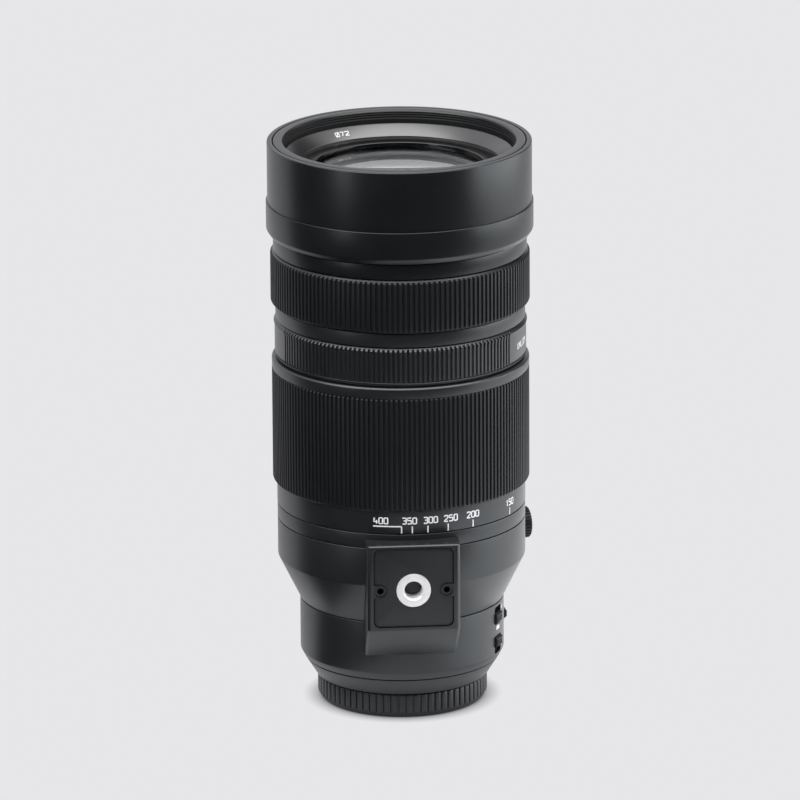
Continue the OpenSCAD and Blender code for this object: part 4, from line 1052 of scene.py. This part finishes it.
class LENS_OT_plain_bands(bpy.types.Operator):
    """Model the fixed index ring and the collars behind and in front of the focus ring"""
    bl_idname = "lens.plain_bands"
    bl_label = "Plain Bands"

    def execute(self, context):
        edge = context.scene.lens_shapes.edge
        seat = radius_of("main_barrel") + CLOSE
        for name, node in (("index_band", "index_ring"), ("middle_band", "middle_collar")):
            low, high, outer = ring_of(node)
            band = turned([(seat, low), (outer, low, edge), (outer, high, edge), (seat, high)])
            add_piece(name, band, "barrel", "outer_black", (node,))
        low, high, outer = ring_of("nose_collar")
        bore = radius_of("extending_tube") + RUNNING
        shoulder = 0.4 * MM
        cap = 1.7 * MM
        nose = turned([
            (seat, low), (outer, low, edge), (outer, high, shoulder), (bore, high, edge),
            (bore, high - cap), (seat, high - cap)])
        add_piece("nose_band", nose, "barrel", "outer_black", ("nose_collar",), "hood_black")
        return {"FINISHED"}


class LENS_OT_zoom_ring(bpy.types.Operator):
    """Model the zoom ring with its ribbed grip and printed scale"""
    bl_idname = "lens.zoom_ring"
    bl_label = "Zoom Ring"

    def execute(self, context):
        shapes = context.scene.lens_shapes
        edge = shapes.edge
        low, high = heights_of("zoom_ring")
        grip_low, grip_high = heights_of("zoom_grip")
        crest = radius_of("zoom_ring")
        root = crest - shapes.rib_depth
        core = crest - GRIP_WALL
        bore = sleeve_bore()
        step_low = grip_low - 1.0 * MM
        rib_low = grip_low - 0.5 * MM
        rim_low = grip_high + HAIR
        ring = turned([
            (bore, low), (SCALE_R, low, edge), (SCALE_R, step_low),
            (root - 0.5 * MM, step_low, edge), (root - FLUSH, rib_low), (core, rib_low),
            (core, rim_low), (crest - HAIR, rim_low, edge), (crest, high - 0.5 * MM, edge),
            (crest - 0.45 * MM, high, edge), (bore, high)])
        add_piece("zoom_sleeve", ring, "zoom_ring", "outer_black", ("zoom_ring",))
        rows = rib_rows(root, crest, rib_low, grip_high, shapes.rib_chamfer)
        grip = ribbed_ring(rows, shapes.zoom_ribs, core + HAIR)
        add_piece("zoom_ribs", grip, "zoom_ring", "grip_rubber", ("zoom_grip",))
        self.print_scale(shapes, low)
        return {"FINISHED"}

    @staticmethod
    def print_scale(shapes, low):
        """Ticks and numbers on the ring, and the index mark that they turn to."""
        tick_foot, over_tick, overhang = 0.2 * MM, 0.85 * MM, 0.3 * MM
        tick_top = low + shapes.tick_height
        lines = []
        for text, degrees, shift in SCALE:
            spot = math.radians(degrees) * SCALE_R
            lines.append([(spot, low + tick_foot), (spot, tick_top)])
            width = word_width(text, shapes.number_height)
            left = spot + shift * MM - width / 2
            if left + width < spot:
                lines.append([(left - overhang, tick_top), (spot, tick_top)])
            lines += word(text, shapes.number_height, left, tick_top + over_tick)
        place = on_cylinder(SCALE_R, SCALE_TURN, 0)
        printed("zoom_scale", lines, shapes.stroke, place, "zoom_ring")
        index_low, index_high = heights_of("index_ring")
        index_stroke = 0.7 * MM
        mark = [[(0, index_low + 0.7 * MM), (0, index_high - 0.3 * MM)]]
        widest = SCALE_TURN + math.radians(SCALE[-1][1])
        place = on_cylinder(radius_of("index_ring"), widest, 0)
        printed("index_mark", mark, index_stroke, place, "barrel")


class LENS_OT_lock_ring(bpy.types.Operator):
    """Model the zoom lock ring, ribbed on two sides"""
    bl_idname = "lens.lock_ring"
    bl_label = "Zoom Lock Ring"

    def execute(self, context):
        shapes = context.scene.lens_shapes
        edge = shapes.edge
        low, high = heights_of("zoom_lock_ring")
        grip_low, grip_high, crest = ring_of("lock_grip")
        flare = radius_of("zoom_lock_ring")
        root = crest - 0.4 * MM
        core = crest - 1.0 * MM
        bore = sleeve_bore()
        bevel = 1.1 * MM
        bevel_low = high - bevel
        rib_high = bevel_low + flare - root
        ring = turned([
            (bore, low), (crest - 0.45 * MM, low, edge), (crest - HAIR, grip_low - HAIR, edge),
            (core, grip_low - HAIR), (core, rib_high), (root - FLUSH / 2, rib_high),
            (flare - bevel, high, edge), (bore, high)])
        add_piece("lock_sleeve", ring, "zoom_lock_ring", "outer_black", ("zoom_lock_ring",))

        pitch = FULL_TURN / shapes.zoom_ribs
        ribbed_turn = math.radians(124)
        ribs = round(ribbed_turn / pitch)
        plain_turn = math.pi - ribs * pitch
        middle = math.radians(-8)
        soft = 0.08 * MM
        rows = rib_rows(root, crest, grip_low, grip_high, shapes.rib_chamfer)[:4]
        rows += [
            (root, flare, grip_high + 0.5 * MM), (root, flare, bevel_low - CLOSE),
            (root, flare - soft, bevel_low + soft), (root, root, rib_high)]
        bm = bmesh.new()
        for side in (0, math.pi):
            first = middle + side - (ribs - 1) * pitch / 2
            add_strip(bm, rows, rib_across(pitch), first, pitch, ribs)
            add_strip(bm, rows, plain_across(plain_turn, pitch), middle + side + QUARTER_TURN, 0, 1)
        close_ring(bm, core + HAIR)
        add_piece("lock_ribs", bm, "zoom_lock_ring", "outer_black", ("lock_grip",))

        letters, stroke = 1.9 * MM, 0.3 * MM
        beside = 6.2 * MM
        word_turn = middle + ribbed_turn / 2 + beside / crest
        lines = word("UNLOCK", letters, 0, (grip_low + grip_high - letters) / 2)
        printed("lock_words", lines, stroke, on_cylinder(crest, word_turn, 0), "zoom_lock_ring")
        return {"FINISHED"}


class LENS_OT_focus_ring(bpy.types.Operator):
    """Model the focus ring and its ribbed grip"""
    bl_idname = "lens.focus_ring"
    bl_label = "Focus Ring"

    def execute(self, context):
        shapes = context.scene.lens_shapes
        edge = shapes.edge
        low, high = heights_of("focus_ring")
        crest = radius_of("focus_grip")
        root = crest - shapes.rib_depth
        core = crest - GRIP_WALL
        bore = sleeve_bore()
        bevel = 1.0 * MM
        rib_low = low + bevel - shapes.rib_depth
        rib_high = high - bevel + shapes.rib_depth
        ring = turned([
            (bore, low), (crest - bevel, low, edge), (root - FLUSH / 2, rib_low), (core, rib_low),
            (core, rib_high), (root - FLUSH / 2, rib_high), (crest - bevel, high, edge), (bore, high)])
        add_piece("focus_sleeve", ring, "focus_ring", "outer_black", ("focus_ring",), "hood_black")
        rows = rib_rows(root, crest, rib_low, rib_high, shapes.rib_depth)
        grip = ribbed_ring(rows, shapes.focus_ribs, core + HAIR)
        add_piece("focus_ribs", grip, "focus_ring", "grip_rubber", ("focus_grip",))
        return {"FINISHED"}


# Front

# Height of the front glass's dome, and how deep its rim lies under the foot of the conical ring
GLASS_CROWN = 3.6 * MM
GLASS_SINK = 2.8 * MM
TUBE_WALL = 1.4 * MM


class LENS_OT_hood(bpy.types.Operator):
    """Model the sliding lens hood with its raised band"""
    bl_idname = "lens.hood"
    bl_label = "Lens Hood"

    def execute(self, context):
        shapes = context.scene.lens_shapes
        edge = shapes.edge
        low, high, band = ring_of("lens_hood")
        outer = band - 0.45 * MM
        bore = radius_of("front_head") + RUNNING
        band_top = low + 10.2 * MM
        bevel = 1.1 * MM
        pocket = radius_of("hood_slider") + RUNNING
        slider_low, slider_high = heights_of("hood_slider")
        pocket_low, pocket_high = slider_low - RUNNING, slider_high + RUNNING
        hood = turned([
            (bore, low, edge), (band - bevel, low, edge), (band, low + 1.5 * bevel, shapes.soft_edge),
            (band, band_top - HAIR, edge), (outer, band_top), (outer, high, shapes.soft_edge),
            (bore, high, edge), (bore, pocket_high), (pocket, pocket_high), (pocket, pocket_low),
            (bore, pocket_low)])
        add_piece("hood_shell", hood, "lens_hood", "outer_black", ("lens_hood",), "hood_black")
        return {"FINISHED"}


class LENS_OT_front(bpy.types.Operator):
    """Model the extending tube, the front rim with its thread, the conical ring and the front glass"""
    bl_idname = "lens.front"
    bl_label = "Front Barrel"

    def execute(self, context):
        shapes = context.scene.lens_shapes
        low, high, tube_r = ring_of("extending_tube")
        tube = turned([
            (tube_r - TUBE_WALL, low), (tube_r, low, shapes.edge), (tube_r, high),
            (tube_r - TUBE_WALL, high)])
        add_piece("inner_tube", tube, "front_barrel", "outer_black", ("extending_tube",))
        glass_low, glass_high = heights_of("front_glass")
        glass_rim = glass_high - GLASS_CROWN
        cone_low = glass_rim + GLASS_SINK
        self.add_rim(shapes, tube_r, high + CLOSE, glass_low, cone_low)
        self.add_rings(shapes, cone_low)
        self.add_glass(glass_low, glass_rim)
        return {"FINISHED"}

    @staticmethod
    def add_rim(shapes, tube_r, socket, glass_low, cone_low):
        """Head with seats for the tube, glass and conical ring, and the filter thread in its mouth."""
        low, high, head_r = ring_of("front_head")
        name_high = heights_of("name_ring")[1]
        name_r = radius_of("name_ring")
        glass_r = radius_of("front_glass")
        mouth = name_r + 0.5 * MM
        seat = tube_r - TUBE_WALL - 0.5 * MM
        level = high - 0.5 * MM
        back = mouth + shapes.thread_depth + 0.2 * MM
        rim = turned([
            (tube_r + CLOSE, low), (head_r, low, 0.3 * MM), (head_r, high, 0.25 * MM),
            (mouth + 0.35 * MM, high, shapes.edge), (mouth + CLOSE, level), (back, level),
            (back, name_high), (name_r + HAIR, name_high), (name_r + HAIR, cone_low),
            (glass_r + CLOSE, cone_low), (glass_r + CLOSE, glass_low), (seat, glass_low),
            (seat, socket), (tube_r + CLOSE, socket)])
        add_piece("front_rim", rim, "front_barrel", "outer_black", ("front_head",), "hood_black")
        softening = 0.05 * MM
        profile = [(back - FLUSH, name_high + FLUSH), (back - FLUSH, level - FLUSH)]
        for _ in range(shapes.thread_turns):
            profile += [
                (mouth, level - FLUSH, softening),
                (mouth + shapes.thread_depth, level - shapes.thread_pitch / 2, softening)]
            level -= shapes.thread_pitch
        profile += [(mouth, level), (mouth, name_high + FLUSH)]
        add_piece(
            "filter_thread", turned(profile), "front_barrel", "outer_black", material="thread_black")

    @staticmethod
    def add_rings(shapes, cone_low):
        """Conical ring with its size mark, and the stepped ring under it that keeps the glass."""
        edge = shapes.edge
        name_low, name_high, name_r = ring_of("name_ring")
        glass_r = radius_of("front_glass")
        lip_r, lip_z = glass_r - 1.5 * MM, cone_low + 0.9 * MM
        top_r = name_r - 0.35 * MM
        seat_z = cone_low + CLOSE
        cone = turned([
            (lip_r, seat_z), (name_r, seat_z), (name_r, name_high, edge), (top_r, name_high, edge),
            (lip_r, lip_z, 0.08 * MM)])
        add_piece("name_cone", cone, "front_barrel", "name_ring_black", ("name_ring",))
        ledge_z = lip_z - 0.3 * MM
        keep_r, keep_z = glass_r - 6.6 * MM, ledge_z - 0.4 * MM
        outer, inner = glass_r - CLOSE, lip_r - FLUSH
        keeper = turned([
            (keep_r, name_low), (outer, name_low), (outer, cone_low), (inner, cone_low),
            (inner, ledge_z), (keep_r, keep_z, 0.2 * MM)])
        add_piece("glass_keeper", keeper, "front_barrel", "name_ring_black", material="keeper_black")

        slope = Vector((top_r - lip_r, name_high - lip_z)).normalized()
        middle_r, middle_z = (top_r + lip_r) / 2, (name_high + lip_z) / 2
        mark_turn = SCALE_TURN + math.pi + math.radians(36.5)

        def on_cone(x, y, lift):
            radius = middle_r + slope.x * y - slope.y * lift
            return around(radius, mark_turn - x / middle_r, middle_z + slope.y * y + slope.x * lift)

        letters, stroke, widening = 1.5 * MM, 0.32 * MM, 1.4
        lines = word("Ø72", letters, 0, -letters / 2)
        wide = [[(widening * x, y) for x, y in line] for line in lines]
        printed("size_mark", wide, stroke, on_cone, "front_barrel")

    @staticmethod
    def add_glass(glass_low, glass_rim):
        """Domed front element."""
        glass_r = radius_of("front_glass")
        rings = 14
        profile = [(0, glass_low + 0.1 * MM), (glass_r, glass_low + 0.6 * MM)]
        for ring in range(rings, -1, -1):
            share = ring / rings
            profile.append((glass_r * share, glass_rim + GLASS_CROWN * (1 - share * share)))
        add_piece(
            "front_element", turned(profile), "front_barrel", "coated_glass", ("front_glass",))


# Stage

# Soft lamps: name, place, the point that they face, width and height in metres, and power in watts
LAMPS = (
    ("right_lamp", (1.35, 0.0, 0.3), (0, 0, 0.12), (1.5, 0.6), 10.5),
    ("left_lamp", (-1.2, -0.9, 0.4), (0, 0, 0.1), (0.3, 0.7), 1.8),
    ("top_lamp", (-0.3, -0.42, 0.95), (-0.3, -0.42, 0), (2.7, 0.95), 26.5),
    ("low_lamp", (0.22, 0.06, 0.001), (0.22, 0.06, 1), (0.34, 0.44), 0.28))


def add_lamp(name, location, target, size, power):
    """Soft square lamp that faces a point."""
    data = bpy.data.lights.new(name, "AREA")
    data.shape = "RECTANGLE"
    data.size, data.size_y = size
    data.energy = power
    lamp = bpy.data.objects.new(name, data)
    lamp.visible_camera = False
    lamp.location = location
    lamp.rotation_mode = "QUATERNION"
    lamp.rotation_quaternion = (Vector(target) - Vector(location)).to_track_quat("-Z", "Y")
    bpy.context.scene.collection.objects.link(lamp)


def show_by_ray(tree, seen, lit, output):
    """Shows one shader to the camera, in reflections and through glass, and lights with the other."""
    path = tree.nodes.new("ShaderNodeLightPath")
    shown = path.outputs["Is Camera Ray"]
    for kind in ("Is Glossy Ray", "Is Transmission Ray"):
        either = tree.nodes.new("ShaderNodeMath")
        either.operation = "MAXIMUM"
        tree.links.new(shown, either.inputs[0])
        tree.links.new(path.outputs[kind], either.inputs[1])
        shown = either.outputs[0]
    mix = tree.nodes.new("ShaderNodeMixShader")
    for source, target in zip((shown, lit.outputs[0], seen.outputs[0]), mix.inputs):
        tree.links.new(source, target)
    tree.links.new(mix.outputs[0], tree.nodes.new(output).inputs["Surface"])


def level_sheet(name, height, corners):
    """Flat sheet with the given corners, at a height over the floor."""
    bm = bmesh.new()
    bm.faces.new([bm.verts.new((x, y, height)) for x, y in corners])
    sheet = as_object(name, bm)
    return sheet


class LENS_OT_stage(bpy.types.Operator):
    """Set the pale floor, the soft lamps, the world and the camera"""
    bl_idname = "lens.stage"
    bl_label = "Stage"

    def execute(self, context):
        scene = context.scene
        stage = scene.lens_stage
        scene.view_settings.view_transform = "Standard"
        self.set_world(scene, stage)
        self.set_floor(stage)
        self.set_cards(stage)
        for lamp in LAMPS:
            add_lamp(*lamp)
        self.set_camera(scene, stage)
        return {"FINISHED"}

    @staticmethod
    def set_world(scene, stage):
        """Pale to the camera and in reflections, dimmer as a light."""
        fill_strength = 0.25
        scene.world = bpy.data.worlds.new("studio")
        tree = empty_tree(scene.world)
        seen = tree.nodes.new("ShaderNodeBackground")
        set_inputs(seen, {"Color": stage.backdrop})
        fill = tree.nodes.new("ShaderNodeBackground")
        set_inputs(fill, {"Color": stage.backdrop, "Strength": fill_strength})
        show_by_ray(tree, seen, fill, "ShaderNodeOutputWorld")

    @staticmethod
    def set_floor(stage):
        """Pale table that glows evenly, with a painted shadow from ambient occlusion at the lens's foot, and that
        lights as a matt floor.
        """
        far = stage.card_reach
        floor = level_sheet("floor", 0, ((-far, -far), (far, -far), (far, far), (-far, far)))
        material = bpy.data.materials.new("floor_pale")
        tree = empty_tree(material)
        glow = tree.nodes.new("ShaderNodeEmission")
        # Painted shadow: ambient occlusion darkens the floor's glow near the lens
        painted_shadow = tree.nodes.new("ShaderNodeAmbientOcclusion")
        set_inputs(painted_shadow, {"Color": stage.backdrop, "Distance": stage.shadow})
        tree.links.new(painted_shadow.outputs["Color"], glow.inputs["Color"])
        matt = tree.nodes.new("ShaderNodeBsdfDiffuse")
        set_inputs(matt, {"Color": stage.backdrop})
        show_by_ray(tree, glow, matt, "ShaderNodeOutputMaterial")
        floor.data.materials.append(material)

    @staticmethod
    def set_cards(stage):
        """Dark cloth and cards on the camera's side, which show in reflections alone."""
        dark = grained("cloth_dark", (0.02, 0.02, 0.021, 1), 0.95, 900, 0.2 * MM, 0.2, 0)
        lift = 0.5 * MM
        far = stage.card_reach
        slant = -far / math.tan(stage.card_start)
        front = level_sheet(
            "front_cloth", lift, ((-far, -far), (far, -far), (far, -stage.apron), (-far, -stage.apron)))
        left = level_sheet(
            "left_cloth", 2 * lift,
            ((-far, -far), (-stage.left_apron, -far), (-stage.left_apron, 0), (-far, -slant)))
        bm = bmesh.new()
        corners = []
        for step in range(stage.card_steps + 1):
            turn = stage.card_start + (stage.card_end - stage.card_start) * step / stage.card_steps
            corners.append([bm.verts.new(around(far, turn, z)) for z in (0, stage.card_height)])
        for first, second in zip(corners, corners[1:]):
            bm.faces.new((*first, *reversed(second)))
        card = as_object("dark_card", bm)
        for sheet in (front, left, card):
            sheet.data.materials.append(dark)
            sheet.visible_camera = False
            sheet.visible_diffuse = False
            sheet.visible_transmission = False
            sheet.visible_shadow = False

    @staticmethod
    def set_camera(scene, stage):
        """Camera of the photograph's view."""
        data = bpy.data.cameras.new("camera")
        data.lens = stage.focal
        data.sensor_width = 36
        data.clip_start = 0.1
        data.clip_end = 20
        data.shift_x = stage.aside
        camera = bpy.data.objects.new("camera", data)
        spot = Matrix.Translation(around(stage.distance, stage.turn, stage.height))
        turn = Matrix.Rotation(stage.turn, 4, "Z")
        pitch = Matrix.Rotation(QUARTER_TURN - stage.pitch, 4, "X")
        camera.matrix_world = spot @ (turn @ pitch @ Matrix.Rotation(stage.roll, 4, "Z"))
        scene.collection.objects.link(camera)
        scene.camera = camera


# Panel and registration

OPERATORS = (
    LENS_OT_stage, LENS_OT_finishes, LENS_OT_rear_cap, LENS_OT_rear_shells, LENS_OT_switches,
    LENS_OT_collar, LENS_OT_foot, LENS_OT_plain_bands, LENS_OT_zoom_ring, LENS_OT_lock_ring,
    LENS_OT_focus_ring, LENS_OT_hood, LENS_OT_front)


class LENS_PT_panel(bpy.types.Panel):
    """Settings and pieces of the lens"""
    bl_idname = "LENS_PT_panel"
    bl_label = "Telephoto Zoom Lens"
    bl_space_type = "VIEW_3D"
    bl_region_type = "UI"
    bl_category = "Lens"

    def draw(self, context):
        layout = self.layout
        for group in (context.scene.lens_shapes, context.scene.lens_finishes, context.scene.lens_stage):
            box = layout.box()
            for name in group.bl_rna.properties.keys():
                if name not in ("rna_type", "name"):
                    box.prop(group, name)
        for operator in OPERATORS:
            layout.operator(operator.bl_idname)


GROUPS = {"lens_shapes": LensShapes, "lens_finishes": LensFinishes, "lens_stage": LensStage}
CLASSES = (*GROUPS.values(), *OPERATORS, LENS_PT_panel)


def register():
    """Register the classes and put the settings on the scene."""
    for cls in CLASSES:
        bpy.utils.register_class(cls)
    for name, group in GROUPS.items():
        setattr(bpy.types.Scene, name, PointerProperty(type=group))


def unregister():
    """Take the settings and the classes away."""
    for name in GROUPS:
        delattr(bpy.types.Scene, name)
    for cls in reversed(CLASSES):
        bpy.utils.unregister_class(cls)


def main():
    """Build the lens in order."""
    register()
    for operator in OPERATORS:
        group, name = operator.bl_idname.split(".")
        getattr(getattr(bpy.ops, group), name)()


if __name__ == "__main__":
    main()
